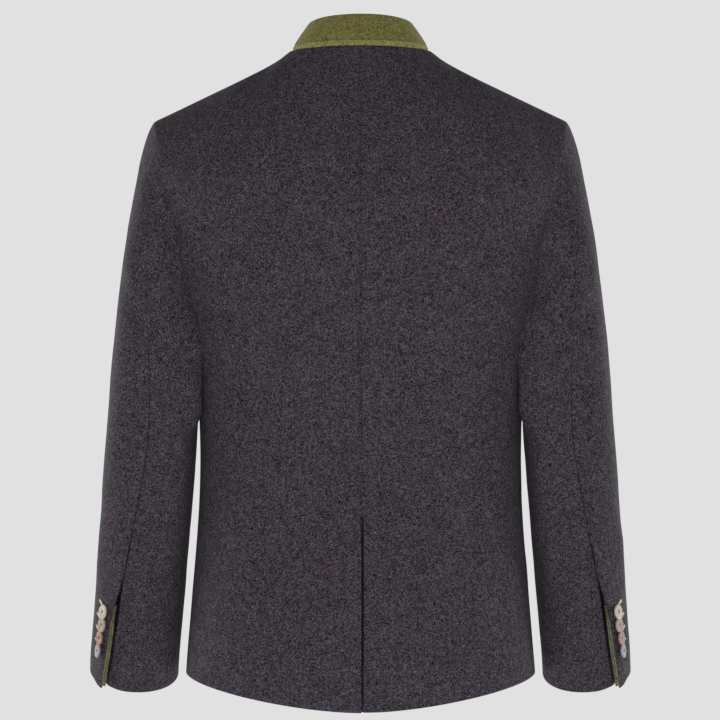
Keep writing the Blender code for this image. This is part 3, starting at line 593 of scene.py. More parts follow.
def tube_point(turn, z):
    """The left sleeve's level section at a height. The cloth hangs a little square at the arm's back."""
    inner, outer = SLEEVE_LINES["inner"](z), SLEEVE_LINES["outer"](z)
    back, front = SLEEVE_LINES["back"](z), SLEEVE_LINES["front"](z)
    across, along = math.sin(math.radians(turn)), math.cos(math.radians(turn))
    if along > 0:
        square = max(1 - abs(across) ** SLEEVE_SQUARENESS, 0.0) ** (1 / SLEEVE_SQUARENESS)
        along += (square - along) * squareness(z) * (1.0 if across < 0 else 0.45)
    return Vector((
        (inner + outer) / 2 + (outer - inner) / 2 * across,
        (back + front) / 2 + (back - front) / 2 * along,
        z,
    ))


def squareness(z):
    """How square the sleeve's back is at a height: most beside the waist, little at the cuff."""
    return ramp(z, *SQUARE_FROM) * (1 - CUFF_ROUNDNESS * ramp(z, *ROUND_FROM))


def cuff_height(turn):
    """The sleeve hem's height round the cuff: lowest at the back."""
    angle = math.radians(turn)
    return CUFF_Z - CUFF_BACK_DROP * math.cos(angle) + CUFF_SIDE_RISE * math.sin(angle)


def sleeve_point(turn, along):
    """The left sleeve's outer face. along is 0 at the armhole, 1 under the cap and 2 at the cuff."""
    edge = armhole_place(turn)[0]
    start_z = edge.z
    if along < 1:
        angle = along * math.pi / 2
        z = start_z - SLEEVE_CAP_DROP * (1 - math.cos(angle))
        z -= SLEEVE_HEAD_SLOPE * math.sin(2 * angle) * max(math.sin(math.radians(turn)), 0.0)
        kept = 1 - math.sin(angle)
        step_out = edge - tube_point(turn, start_z)
        return tube_point(turn, z) + Vector((step_out.x, step_out.y, 0)) * kept
    top = start_z - SLEEVE_CAP_DROP
    return tube_point(turn, top + (cuff_height(turn) - top) * (along - 1))


def sleeve_normal(turn, along):
    step = 0.004
    around = sleeve_point(turn + 0.5, along) - sleeve_point(turn - 0.5, along)
    down = sleeve_point(turn, min(along + step, 2.0)) - sleeve_point(turn, max(along - step, 0.0))
    return around.cross(down).normalized()


def hind_seam(along):
    """The hind-arm seam's turn. It starts from the armhole at the blade level."""
    start = armhole_turn(True, HIND_SEAM_LEVEL)
    share = max(along - 1, 0.0)
    return HIND_SEAM_LINE(share) + (start - HIND_SEAM[0].turn) * (1 - ease(share / HIND_SEAM[1].share))


def forearm_seam(along):
    start = armhole_turn(False, FOREARM_SEAM_LEVEL)
    return start + (FOREARM_SEAM - start) * ease((along - 1) / FOREARM_SEAM_SETTLE)


def metres_per_degree(turn, along):
    return (sleeve_point(turn + 0.5, along) - sleeve_point(turn - 0.5, along)).length


def vent_share(along):
    """0 above the cuff's vent, rising to 1 at the hem."""
    return max(along - CUFF_VENT_TOP, 0.0) / (2 - CUFF_VENT_TOP)


def shared_normal(turn, own, other):
    """The normal that both sides of the armhole seam use, where the cloth runs on over it; where the seam
    folds the cloth back under the arm, each keeps its own."""
    normal = own + other * ease(own.dot(other) / 0.4)
    if abs(math.cos(math.radians(turn))) < 1e-6:
        normal.y = 0
    return normal.normalized()


def near_vent(turn, along):
    """1 at the cuff vent's upper edge, easing to 0 over the top sleeve."""
    return 1 - ease((turn - hind_seam(along)) / CUFF_VENT_EASE_TURN)


def vent_lift(turn, along):
    """How far the vent's upper edge stands off the sleeve's section."""
    return CUFF_VENT_LIFT * near_vent(turn, along) * ease(vent_share(along) * 1.6)


def sleeve_place(turn, along, out):
    """A place on the sleeve; its first row shares the armhole's normal."""
    point, normal = sleeve_point(turn, along), sleeve_normal(turn, along)
    if along < SHARED_NORMALS_TO:
        near = 1 - along / SHARED_NORMALS_TO
        joint = shared_normal(turn, normal, armhole_place(turn)[1])
        normal = (normal * (1 - near) + joint * near).normalized()
    return point + normal * out, normal


def lifted_place(turn, along):
    """A place on the top sleeve near its vent, with the normal of the lifted cloth."""
    def at(turn, along):
        return sleeve_place(turn, along, vent_lift(turn, along))[0]

    around = at(turn + 1, along) - at(turn - 1, along)
    down = at(turn, along + 0.01) - at(turn, along - 0.01)
    return at(turn, along), around.cross(down).normalized()


def collar_base(turn):
    """The collar's seam round the neck: turn 0 at the centre back, 1 at the shoulder, 2 at the front."""
    back = turn <= 1
    return neckline(back, turn if back else 2 - turn)


def collar_top(turn):
    """The collar's upper edge, closer to the neck than its seam."""
    angle = turn * math.pi / 2
    reach = (COLLAR_TOP_BACK_Y if turn <= 1 else COLLAR_TOP_FRONT_Y) - NECK_SIDE_Y
    y = NECK_SIDE_Y + reach * abs(math.cos(angle))
    x = COLLAR_TOP_HALF_WIDTH * math.sin(angle)
    if turn <= 1:
        level = abs(math.cos(angle)) ** COLLAR_TOP_POWER
        z = COLLAR_TOP_SIDE_Z + (COLLAR_TOP_BACK_Z - COLLAR_TOP_SIDE_Z) * level
    else:
        drop = abs(math.cos(angle)) ** NECK_DROP_POWER
        z = COLLAR_TOP_SIDE_Z + (COLLAR_TOP_FRONT_Z - COLLAR_TOP_SIDE_Z) * drop
    return Vector((x, y, z))


def collar_point(turn, rise):
    """The collar's outer face; rise is 0 at the seam and 1 at the upper edge."""
    sign = -1 if turn < 0 else 1
    point = collar_base(abs(turn)).lerp(collar_top(abs(turn)), rise)
    out = Vector((point.x, point.y - NECK_SIDE_Y, 0)).normalized()
    point += out * COLLAR_FULLNESS * math.sin(math.pi * rise)
    return Vector((sign * point.x, point.y, point.z))


def collar_normal(turn, rise):
    around = collar_point(turn + STEP, rise) - collar_point(turn - STEP, rise)
    if abs(turn) < STEP:
        around = Vector((1, 0, 0))
    up = collar_point(turn, rise + STEP) - collar_point(turn, rise - STEP)
    return up.cross(around).normalized()


def no_edge(inset):
    return 0.0


def free_edge(inset):
    """How far a turned edge rounds in, at a distance from it."""
    return DEEPEST_TURN - math.sqrt(DEEPEST_TURN ** 2 - max(DEEPEST_TURN - inset, 0.0) ** 2)


def sewn_edge(depth, width=SEAM_VALLEY_WIDTH):
    """How far the cloth dips into a pressed seam of this depth, by the distance from it."""
    return lambda inset: depth * max(1 - inset / width, 0.0) ** 2


def either_edge(free, depth, open_edge=free_edge):
    """An edge that is open where free is 1, and sewn to this depth where it is 0."""
    sewn = sewn_edge(depth)
    return lambda inset: open_edge(inset) * free + sewn(inset) * (1 - free)


def between_edges(first, last, count, near, near_speed, far, far_speed):
    """Places from one edge of a piece to the other, close together at both, each with how far the cloth
    turns in. The speeds are metres for a step of 1."""
    opening = [(first + inset / near_speed, near(inset)) for inset in EDGE_INSETS]
    closing = [(last - inset / far_speed, far(inset)) for inset in reversed(EDGE_INSETS)]
    start, end = opening[-1][0], closing[0][0]
    inside = [(start + (end - start) * i / count, 0.0) for i in range(1, count)]
    return opening + inside + closing


def crease_rise(x, z, creases):
    """The height of the soft creases at a point of the cloth, laid flat."""
    total = 0.0
    for crease in creases:
        run_x, run_z = crease.end_x - crease.x, crease.end_z - crease.z
        length = math.hypot(run_x, run_z)
        along = ((x - crease.x) * run_x + (z - crease.z) * run_z) / length ** 2
        if -0.05 < along < 1.05:
            bow = 0.10 * crease.width * math.sin(3 * along + 40 * crease.x)
            off = ((x - crease.x) * run_z - (z - crease.z) * run_x) / length - bow
            fade = ease(along / 0.35 + 0.1) * ease((1 - along) / 0.45 + 0.1)
            total += CREASE_STRENGTH * crease.rise * fade * math.exp(-(off / crease.width) ** 2)
    return total


def arm_crease_rise(turn, z, creases):
    """The same on a sleeve."""
    total = 0.0
    for crease in creases:
        middle = (crease.turn + crease.end_turn) / 2
        near = middle + (turn - middle + 180) % 360 - 180
        flat = Crease(
            crease.turn * ARM_METRES_PER_DEGREE, crease.z,
            crease.end_turn * ARM_METRES_PER_DEGREE, crease.end_z, crease.width, crease.rise,
        )
        total += crease_rise(near * ARM_METRES_PER_DEGREE, z, (flat,))
    return total


def unevenness(point):
    """Cloth is never quite smooth."""
    broad = noise.noise(point / 0.075 + Vector((3.1, 0.7, 5.2)))
    small = noise.noise(point / 0.032 + Vector((9.4, 2.6, 1.3)))
    return 0.0006 * broad + 0.0003 * small


def mirror_x(point, sign):
    return Vector((sign * point.x, point.y, point.z))


def on_side(place, sign):
    """A place on the left half of the coat, taken to the side that the sign says."""
    point, normal, *sink = place
    return mirror_x(point, sign), mirror_x(normal, sign), *sink


def deselect_all():
    bpy.ops.object.select_all(action="DESELECT")


def edit_all(piece):
    """Edit mode on one piece, with all of it selected."""
    deselect_all()
    piece.select_set(True)
    bpy.context.view_layer.objects.active = piece
    bpy.ops.object.mode_set(mode="EDIT")
    bpy.ops.mesh.select_all(action="SELECT")


def clean(piece, sharp):
    """Loose points out, faces outwards, and smooth but for edges past this angle."""
    edit_all(piece)
    bpy.ops.mesh.delete_loose(use_verts=True, use_edges=True, use_faces=False)
    bpy.ops.mesh.select_all(action="SELECT")
    bpy.ops.mesh.normals_make_consistent(inside=False)
    bpy.ops.object.mode_set(mode="OBJECT")
    bpy.ops.object.shade_smooth_by_angle(angle=math.radians(sharp))


def mesh_piece(name, points, faces, finish):
    data = bpy.data.meshes.new(name)
    data.from_pydata(points, [], faces)
    piece = bpy.data.objects.new(name, data)
    bpy.context.scene.collection.objects.link(piece)
    data.materials.append(finish)
    clean(piece, SMOOTH_TO)
    return piece


def shell(name, rows, thickness, finish):
    """A closed shell of cloth. Each place in the rows has an outer point, its normal and how far the edge
    turns in, or is None where there is no cloth."""
    points, faces, outer, inner = [], [], {}, {}
    for r, row in enumerate(rows):
        for c, place in enumerate(row):
            if place is not None:
                point, normal, sink = place
                sink = min(sink, DEEPEST_TURN)
                outer[r, c] = len(points)
                points.append(point - normal * sink)
                inner[r, c] = len(points)
                points.append(point - normal * (thickness - sink))
    rim = {}
    for r in range(len(rows) - 1):
        for c in range(len(rows[r]) - 1):
            corners = ((r, c), (r, c + 1), (r + 1, c + 1), (r + 1, c))
            if any(corner not in outer for corner in corners):
                continue
            faces.append([outer[k] for k in corners])
            faces.append([inner[k] for k in reversed(corners)])
            for first, second in zip(corners, corners[1:] + corners[:1]):
                if (second, first) in rim:
                    del rim[second, first]
                else:
                    rim[first, second] = True
    for first, second in rim:
        faces.append([outer[second], outer[first], inner[first], inner[second]])
    return mesh_piece(name, points, faces, finish)


def body_levels():
    """Rows of a body panel from the hem to the top, each with how far the cloth turns in."""
    skirt = [row / SKIRT_ROWS for row in range(SKIRT_ROWS)]
    scoop = [1 + (row / SCOOP_ROWS) ** 1.5 for row in range(SCOOP_ROWS)]
    yoke = [2 + row / YOKE_ROWS for row in range(YOKE_ROWS + 1)]
    neck = sewn_edge(NECK_SEAM_DEPTH, NECK_VALLEY_WIDTH)
    hem = [(inset / SKIRT_LENGTH, free_edge(inset)) for inset in EDGE_INSETS]
    top = [(3 - inset / YOKE_LENGTH, neck(inset)) for inset in reversed(EDGE_INSETS)]
    low, high = hem[-1][0] + LEVEL_GAP, top[0][0] - LEVEL_GAP
    return hem + [(level, 0.0) for level in skirt + scoop + yoke if low < level < high] + top


def seamed_place(back, across, level):
    """A place on the body's left half; both panels share a normal on the side and shoulder seams."""
    point, normal = body_point(back, across, level), body_normal(back, across, level)
    if (across > 0.9999 and level <= 1) or (level > 2.9999 and across >= NECK_SHARE - 1e-6):
        normal.y = 0
        normal.normalize()
    if across > 0.985 and level >= 1:
        turn = armhole_turn(back, level)
        joint = shared_normal(turn, armhole_place(turn)[1], sleeve_normal(turn, 0))
        near = (across - 0.985) / 0.015
        normal = (normal * (1 - near) + joint * near).normalized()
    return point, normal


def spread(back, level):
    """Metres from the centre line for a step of 1 across."""
    return body_point(back, STEP, level).x / STEP


def body_row(back, first, level, row_sink, near, extra=()):
    """One row of a body panel with its edges turned, from a share across to the side."""
    near_speed = (body_point(back, first + STEP, level) - body_point(back, first, level)).length / STEP
    far_speed = (body_point(back, 1.0, level) - body_point(back, 1.0 - STEP, level)).length / STEP
    far = sewn_edge(SIDE_SEAM_DEPTH if level < 1 else ARMHOLE_DEPTH)
    columns = between_edges(first, 1.0, BODY_COLUMNS, near, near_speed, far, far_speed)
    columns = sorted(columns + [(first + reach / near_speed, 0.0) for reach in extra])
    return [(across, max(row_sink, sink), seamed_place(back, across, level)) for across, sink in columns]


def back_rows(left):
    """Rows of one back panel, as on the left. The right one goes on under the left one at the vent."""
    sign = 1 if left else -1
    rows = []
    for level, row_sink in body_levels():
        in_vent = 1 - ramp(level, *(VENT_CLOSES_LEFT if left else VENT_CLOSES_RIGHT))
        lap = VENT_LAP * ramp(level, *VENT_LAPS) * left
        near = either_edge(in_vent, CENTRE_SEAM_DEPTH, free_edge if left else no_edge)
        row = [] if left else vent_tab(level, row_sink)
        for across, sink, (point, normal) in body_row(
            True, 0.0, level, row_sink, near, () if left else VENT_COLUMNS,
        ):
            point.x -= lap * (1 - ease(point.x / 0.012))
            lift = crease_rise(sign * point.x, point.z, BACK_CREASES) + unevenness(mirror_x(point, sign))
            lift *= calm(across, level, True)
            if not left:
                lift -= vent_depth(level, point.x) * in_vent
            row.append((point + normal * lift, normal, sink))
        rows.append(row)
    return rows


def vent_tab(level, row_sink):
    """The part of the right back's row that goes on under the left one, as far up as the vent."""
    tab = []
    for reach, sink in between_edges(VENT_TAB, 0.001, TAB_COLUMNS, free_edge, -1, no_edge, -1)[:-5]:
        if level > VENT_LEVEL:
            tab.append(None)
            continue
        turn = -reach / spread(True, level)
        point, normal = body_point(True, turn, level), body_normal(True, turn, level)
        place = Vector((-reach, point.y, point.z)) - normal * vent_depth(level, 0.0)
        tab.append((place, normal, max(sink, row_sink)))
    return tab


def vent_depth(level, x):
    """How deep the right back lies under the left one's edge, which stands a little open down the vent."""
    groove = VENT_GROOVE * ramp(level, *VENT_OPENS) * (0.3 + 0.7 * ease(level / 0.05))
    groove *= 1 - ramp(x, VENT_GROOVE_X, VENT_GROOVE_WALL)
    return LAP_DEPTH * (1 - ease(x / VENT_EASE_X)) + groove


def calm(across, level, sewn_centre):
    """1 inside a body panel, and 0 along its seams, which hold the cloth still; the hem is free."""
    centre = ramp(across, *STILL_BY_CENTRE) if sewn_centre and level > VENT_LEVEL else 1.0
    return ramp(across, *STILL_BY_SIDE) * centre * ramp(level, *STILL_BY_TOP)


def front_rows(left):
    """Rows of one front panel, as on the left, from the edge past the centre line to the side."""
    sign = 1 if left else -1
    rows = []
    for level, row_sink in body_levels():
        row = []
        metres = spread(False, level)
        first = -FRONT_LAP / metres
        for across, sink, (point, normal) in body_row(False, first, level, row_sink, free_edge):
            if across < 0:
                point.x = across * metres
            lift = crease_rise(sign * point.x, point.z, FRONT_CREASES) + unevenness(mirror_x(point, sign))
            lift *= calm(across, level, False) * ease((point.x + 0.002) / 0.03)
            lift += sign * FRONT_LAP_RISE * (1 - ramp(point.x, FRONT_LAP, FRONT_LAP_FADE - FRONT_LAP))
            from_corner = max(FRONT_CORNER_RADIUS - (point.x + FRONT_LAP), 0.0)
            cut = FRONT_CORNER_RADIUS - math.sqrt(FRONT_CORNER_RADIUS ** 2 - from_corner ** 2)
            point.z += cut * (1 - ease(level / 0.12))
            row.append((point + normal * lift, normal, sink))
        rows.append(row)
    return rows


def sleeve_alongs():
    """Rows of a sleeve from the armhole to the cuff, each with how far the hem turns in."""
    cap = [(row / SLEEVE_CAP_ROWS) ** 1.4 for row in range(1, SLEEVE_CAP_ROWS)]
    arm = [1 + row / SLEEVE_ROWS for row in range(SLEEVE_ROWS)]
    hem = [(2 - inset / ARM_LENGTH, free_edge(inset)) for inset in reversed(EDGE_INSETS)]
    inside = SLEEVE_FIRST_ROWS + cap + arm
    return [(along, 0.0) for along in inside if along < hem[0][0] - 0.003] + hem


def sleeve_lift(turn, along, point, sign):
    """Creases and unevenness of the sleeves; the seams and the cuff's vent hold the cloth still."""
    creases = LEFT_ARM_CREASES if sign > 0 else RIGHT_ARM_CREASES
    lift = arm_crease_rise(turn, point.z, creases) + unevenness(mirror_x(point, sign) * 1.1)
    by_hind = abs((turn - hind_seam(along) + 180) % 360 - 180)
    by_forearm = abs((turn - forearm_seam(along) + 180) % 360 - 180)
    quiet = 0.4 + 0.6 * ramp(by_hind, *STILL_BY_HIND_SEAM) * ramp(by_forearm, *STILL_BY_FOREARM_SEAM)
    by_vent = 1 - ease(vent_share(along - 0.03) * 6) * (1 - ramp(by_hind, *STILL_BY_VENT))
    return lift * quiet * by_vent * ease(along / 0.5)


def sleeve_start(turn, along, sink):
    """A place on the bare sleeve, with the dip beside the armhole seam."""
    point, normal = sleeve_place(turn, along, 0.0)
    if along < 1:
        sink = max(sink, sewn_edge(ARMHOLE_DEPTH)((point - armhole_place(turn)[0]).length))
    return point, normal, sink


def hind_seam_depth(along):
    """How deep the hind-arm seam lies, which is pressed flat above the elbow."""
    return SLEEVE_SEAM_DEPTH * (0.3 + 0.7 * ramp(along, *HIND_SEAM_DEEPENS))


def open_vent(along):
    """0 on the sewn hind-arm seam, and 1 just below the top of the cuff's vent."""
    return ease(vent_share(along) * 12)


def cuff_corner(along):
    """1 at the cuff's hem, and 0 a little above it."""
    return ramp(along, *CUFF_CORNER)


def vent_edge_back(along):
    """How far the cuff vent's upper edge is drawn back from the seam's line."""
    share = vent_share(along)
    return CUFF_EDGE_BACK * math.exp(-((share - 0.42) / 0.20) ** 2) * ease(share / 0.1)


def cuff_groove(along):
    """How deep the under sleeve drops away beside the cuff's open vent."""
    share = vent_share(along)
    return CUFF_GROOVE * ramp(share, *GROOVE_OPENS) * (1 - 0.90 * ramp(share, *GROOVE_CLOSES))


def cuff_groove_width(along):
    """How far from the seam's line the under sleeve comes up again."""
    share = vent_share(along)
    return 0.0011 + 0.0029 * ramp(share, *GROOVE_WIDENS) + 0.0009 * ramp(share, *GROOVE_WIDENS_MORE)


def pressed_in(turn, z):
    """Where the hanging arm rests against the body, the sleeve's inner side is pressed towards it."""
    off = (turn - PRESSED_TURN + 180) % 360 - 180
    height = ramp(z, *PRESSED_FROM) * (0.66 + 0.34 * ramp(z, *PRESSED_FULL)) * ramp(z, *PRESSED_TO)
    return Vector((-PRESSED_IN * math.exp(-(off / PRESSED_SPREAD) ** 2) * height, 0, 0))


def top_sleeve_rows(sign):
    """The upper sleeve, from the hind-arm seam over the outside of the arm to the forearm seam."""
    rows = []
    for along, row_sink in sleeve_alongs():
        first, last = hind_seam(along), forearm_seam(along)
        near_speed, far_speed = metres_per_degree(first, along), metres_per_degree(last, along)
        first += vent_edge_back(along) / near_speed
        near = either_edge(open_vent(along), hind_seam_depth(along))
        far = sewn_edge(SLEEVE_SEAM_DEPTH)
        row = []
        for turn, sink in between_edges(first, last, TOP_SLEEVE_COLUMNS, near, near_speed, far, far_speed):
            point, normal, sink = sleeve_start(turn, along, sink)
            lift = vent_lift(turn, along) + sleeve_lift(turn, along, point, sign)
            point += normal * lift
            point.z -= CUFF_CORNER_DROP * near_vent(turn, along) * cuff_corner(along)
            row.append((point, normal, max(sink, row_sink)))
        rows.append(row)
    return rows


def under_sleeve_rows(sign):
    """The under sleeve, from the forearm seam under the arm to the hind-arm seam, and the vent's lap."""
    rows = []
    for along, row_sink in sleeve_alongs():
        first, last = forearm_seam(along), hind_seam(along) + 360
        near_speed, far_speed = metres_per_degree(first, along), metres_per_degree(last, along)
        near = sewn_edge(SLEEVE_SEAM_DEPTH)
        far = either_edge(open_vent(along), hind_seam_depth(along), no_edge)
        columns = between_edges(first, last, UNDER_SLEEVE_COLUMNS, near, near_speed, far, far_speed)
        groove, width = cuff_groove(along), cuff_groove_width(along)
        columns = sorted(columns + [(last - width * reach / far_speed, 0.0) for reach in GROOVE_COLUMNS])
        lap = CUFF_LAP_DEPTH * ease((along - CUFF_VENT_TOP) / 0.12 + 1)
        row = []
        for turn, sink in columns:
            point, normal, sink = sleeve_start(turn, along, sink)
            lift = sleeve_lift(turn, along, point, sign)
            lift -= lap * (1 - ease((last - turn) / (1.4 * CUFF_VENT_EASE_TURN)))
            lift -= groove * max(1 - (last - turn) * far_speed / (1.08 * width), 0.0)
            point = point + normal * lift + pressed_in(turn, point.z)
            row.append((point, normal, max(sink, row_sink)))
        for step in range(1, TAB_COLUMNS + 1):
            if along < CUFF_VENT_TOP:
                row.append(None)
                continue
            turn = last + CUFF_VENT_LAP_TURN * step / TAB_COLUMNS
            point, normal = sleeve_place(turn, along, -CUFF_LAP_DEPTH - groove)
            row.append((point, normal, max(DEEPEST_TURN * (step == TAB_COLUMNS), row_sink)))
        rows.append(row)
    return rows


def collar_end_turn():
    """The turn at which the collar's front end stands off the centre line by half the gap."""
    return 2 - math.asin(COLLAR_END_GAP / NECK_HALF_WIDTH) / (math.pi / 2)


def collar_height():
    return (collar_top(0) - collar_base(0)).length


def collar_speed(turn):
    """Metres along the collar's seam for a step of 1 in the turn."""
    return (collar_base(turn) - collar_base(turn - STEP)).length / STEP


def collar_places(turns, rises):
    """Rows of places on the collar; its front corners are rounded and its seam band stands up."""
    end = collar_end_turn()
    height = collar_height()
    corner_turn = COLLAR_CORNER / collar_speed(end)
    rows = []
    for rise, row_sink in rises:
        row = []
        for turn, sink in turns:
            from_end = (end - abs(turn)) / corner_turn
            missing = 1 - math.sqrt(max(1 - (1 - min(from_end, 1.0)) ** 2, 0.0))
            local = rise * (1 - missing * COLLAR_CORNER / height)
            point, normal = collar_point(turn, local), collar_normal(turn, local)
            from_seam = rise * height
            band = 1 - ramp(from_seam, *COLLAR_BAND_ENDS)
            dent = math.exp(-((from_seam - COLLAR_STITCH_LINE) / COLLAR_DENT_WIDTH) ** 2)
            up = (collar_point(turn, 0.1) - collar_point(turn, 0.0)).normalized()
            at_side = math.exp(-((abs(turn) - 1.0) / COLLAR_SIDE_WIDTH) ** 2)
            lift = COLLAR_BAND_RISE * band * (1 - at_side) - COLLAR_DENT * dent
            lift += 0.5 * unevenness(point * 1.3) * ease(rise / 0.3)
            lift -= COLLAR_FOOT_IN * at_side * (1 - ease(from_seam / COLLAR_FOOT_HEIGHT))
            down = COLLAR_OVERLAP * (0.4 + 1.1 * ease(abs(turn)))
            down *= 1 - ease(from_seam / COLLAR_OVERLAP_HEIGHT)
            row.append((point - up * down + normal * lift, normal, max(sink, row_sink)))
        rows.append(row)
    return rows


def build_collar(finish):
    end = collar_end_turn()
    speed = collar_speed(end)
    turns = between_edges(-end, end, COLLAR_COLUMNS, free_edge, speed, free_edge, speed)
    height = collar_height()
    seam = [(inset / height, free_edge(inset * 1.5)) for inset in EDGE_INSETS]
    top = [(1 - inset / height, free_edge(inset)) for inset in reversed(EDGE_INSETS)]
    middle = [(mm / 1000 / height, 0.0) for mm in COLLAR_ROWS_MM]
    rises = seam + [row for row in middle if row[0] < top[0][0] - 0.01] + top
    collar = shell("collar_cloth", collar_places(turns, rises), COLLAR_CLOTH, finish)
    paint_band_highlight(collar)
    return collar


def paint_band_highlight(collar):
    """Writes on the collar's points how much each belongs to the band along its seam, where the collar's
    colour gets a painted highlight.
    """
    band = collar.data.attributes.new("band_painted_highlight", "FLOAT", "POINT")
    seam = [collar_base(i / 100) for i in range(201)]
    for index, vertex in enumerate(collar.data.vertices):
        place = mirror_x(vertex.co, 1 if vertex.co.x >= 0 else -1)
        reach = min((place - point).length for point in seam)
        band.data[index].value = 1 - ramp(reach, *COLLAR_HIGHLIGHT_ENDS)


def build_cloth(wool, green):
    """All sheets of the coat, by the node that each stands for."""
    pieces = {}
    for side, sign in SIDES:
        parts = (
            ("back", back_rows(sign > 0)),
            ("front", front_rows(sign > 0)),
            ("top_sleeve", top_sleeve_rows(sign)),
            ("under_sleeve", under_sleeve_rows(sign)),
        )
        for part, rows in parts:
            placed = [[place and on_side(place, sign) for place in row] for row in rows]
            pieces[f"{part}_{side}"] = shell(f"{part}_{side}_cloth", placed, CLOTH, wool)
    pieces["collar"] = build_collar(green)
    return pieces


def tube(name, path, radius, finish, closed=False, taper=None):
    """A thread, welt or roll along a path of points."""
    deselect_all()
    bpy.ops.curve.primitive_nurbs_path_add(location=(0, 0, 0))
    curve = bpy.context.object
    curve.name = name
    curve.data.splines.clear()
    spline = curve.data.splines.new("POLY")
    spline.points.add(len(path) - 1)
    for point, place in zip(spline.points, path):
        point.co = (*place, 1)
    if taper:
        for point, size in zip(spline.points, taper):
            point.radius = size
    spline.use_cyclic_u = closed
    curve.data.dimensions = "3D"
    curve.data.bevel_depth = radius
    curve.data.bevel_resolution = 3
    curve.data.use_fill_caps = True
    bpy.ops.object.convert(target="MESH")
    piece = bpy.context.object
    piece.name = name
    piece.data.name = name
    piece.data.materials.clear()
    piece.data.materials.append(finish)
    edit_all(piece)
    bpy.ops.mesh.remove_doubles(threshold=0.000005)
    bpy.ops.object.mode_set(mode="OBJECT")
    clean(piece, 50)
    return piece


def joined(name, pieces):
    """Several meshes made one."""
    deselect_all()
    for piece in pieces:
        piece.select_set(True)
    bpy.context.view_layer.objects.active = pieces[0]
    bpy.ops.object.join()
    pieces[0].name = name
    pieces[0].data.name = name
    return pieces[0]


def build_welt(side, sign, finish):
    """The green welt along the free side of a cuff's vent: a roll, and its own folded edge beside it."""
    return joined(f"cuff_welt_{side}", [welt_roll(side, sign, finish, *roll) for roll in WELT_ROLLS])


def welt_roll(side, sign, finish, reach, rise, radius):
    path, sizes = [], []
    for i in range(WELT_STEPS + 1):
        share = i / WELT_STEPS
        down = WELT_START + (WELT_END - WELT_START) * share
        along = CUFF_VENT_TOP + (2 - CUFF_VENT_TOP) * down
        open_share = ease(share / 0.35)
        out = vent_edge_back(along) - reach * (0.35 + 0.65 * open_share)
        turn = hind_seam(along) + out / metres_per_degree(hind_seam(along), along)
        lift = CUFF_VENT_LIFT * ease(vent_share(along) * 1.6) - CLOTH / 2 + rise - 0.0012 * (1 - open_share)
        point, _ = sleeve_place(turn, along, lift)
        point.z -= CUFF_CORNER_DROP * cuff_corner(along)
        path.append(mirror_x(point, sign))
        sizes.append(0.30 + 0.70 * ease(i / 22) + 0.05 * noise.noise(Vector((i * 0.9, 4.2, sign))))
    return tube(f"cuff_welt_{side}", path, radius, finish, taper=sizes)


def turned_button(name, radius, height, horn, thread):
    """One button lying face up at the origin, with four holes and its crossed thread."""
    deselect_all()
    bpy.ops.mesh.primitive_circle_add(
        vertices=48, radius=BUTTON_BACK * radius, fill_type="NGON", location=(0, 0, 0),
    )
    button = bpy.context.object
    button.name = name
    edit_all(button)
    at_radius, at_height = BUTTON_BACK, 0.0
    for ring_radius, ring_height in BUTTON_PROFILE:
        rise = (ring_height - at_height) * height
        bpy.ops.mesh.extrude_region_move(TRANSFORM_OT_translate={"value": (0, 0, rise)})
        grow = ring_radius / at_radius
        bpy.ops.transform.resize(value=(grow, grow, 1), center_override=(0, 0, 0))
        at_radius, at_height = ring_radius, ring_height
    bpy.ops.mesh.select_all(action="SELECT")
    bpy.ops.mesh.normals_make_consistent(inside=False)
    bpy.ops.object.mode_set(mode="OBJECT")
    button.data.materials.append(horn)
    spread_out = HOLE_SPREAD * radius
    holes = [(x * spread_out, y * spread_out) for x, y in ((1, 1), (-1, 1), (-1, -1), (1, -1))]
    for x, y in holes:
        drill_hole(button, x, y, HOLE_RADIUS * radius, 4 * height)
    clean(button, 35)
    strands = [strand(name, holes, radius, height, thread, *row) for row in BUTTON_STRANDS]
    return joined(name, [button] + strands)


def drill_hole(button, x, y, radius, depth):
    bpy.ops.mesh.primitive_cylinder_add(vertices=14, radius=radius, depth=depth, location=(x, y, 0))
    drill = bpy.context.object
    cut = button.modifiers.new("hole", "BOOLEAN")
    cut.operation = "DIFFERENCE"
    cut.object = drill
    deselect_all()
    bpy.context.view_layer.objects.active = button
    bpy.ops.object.modifier_apply(modifier=cut.name)
    bpy.data.objects.remove(drill)


def strand(name, holes, radius, height, thread, first, second, over, aside):
    """One strand of thread, up through a hole, over the dish in a bow and down through another hole."""
    (ax, ay), (bx, by) = holes[first], holes[second]
    top = DISH_HEIGHT * height
    path = [Vector((ax, ay, -BUTTON_GAP)), Vector((ax, ay, top * 0.9))]
    for i in range(7):
        share = (i + 0.5) / 7
        bulge = math.sin(math.pi * share)
        off = aside * radius * bulge
        path.append(Vector((
            ax + (bx - ax) * share + off, ay + (by - ay) * share - off, top + over * height * bulge,
        )))
    path += [Vector((bx, by, top * 0.9)), Vector((bx, by, -BUTTON_GAP))]
    return tube(f"{name}_thread", path, THREAD_RADIUS * radius, thread)


def set_button(name, model, horn, place, back, tilt, yaw, spin):
    """A copy of the model button, seated on the cloth. A tilt turns its face up, and a yaw to the side."""
    point, normal = place
    gap = BUTTON_GAP + back * math.sin(math.acos(math.cos(tilt) * math.cos(yaw)))
    piece = bpy.data.objects.new(name, model.data.copy())
    piece.data.name = name
    piece.data.materials[0] = horn
    bpy.context.scene.collection.objects.link(piece)
    seat = point + normal * gap
    up = (Vector((0, 0, 1)) - normal * normal.z).normalized()
    face = Matrix.Rotation(yaw, 3, up) @ (normal * math.cos(tilt) + up * math.sin(tilt))
    turn = face.to_track_quat("Z", "Y").to_matrix().to_4x4() @ Matrix.Rotation(spin, 4, "Z")
    piece.data.transform(Matrix.Translation(seat) @ turn)
    return piece


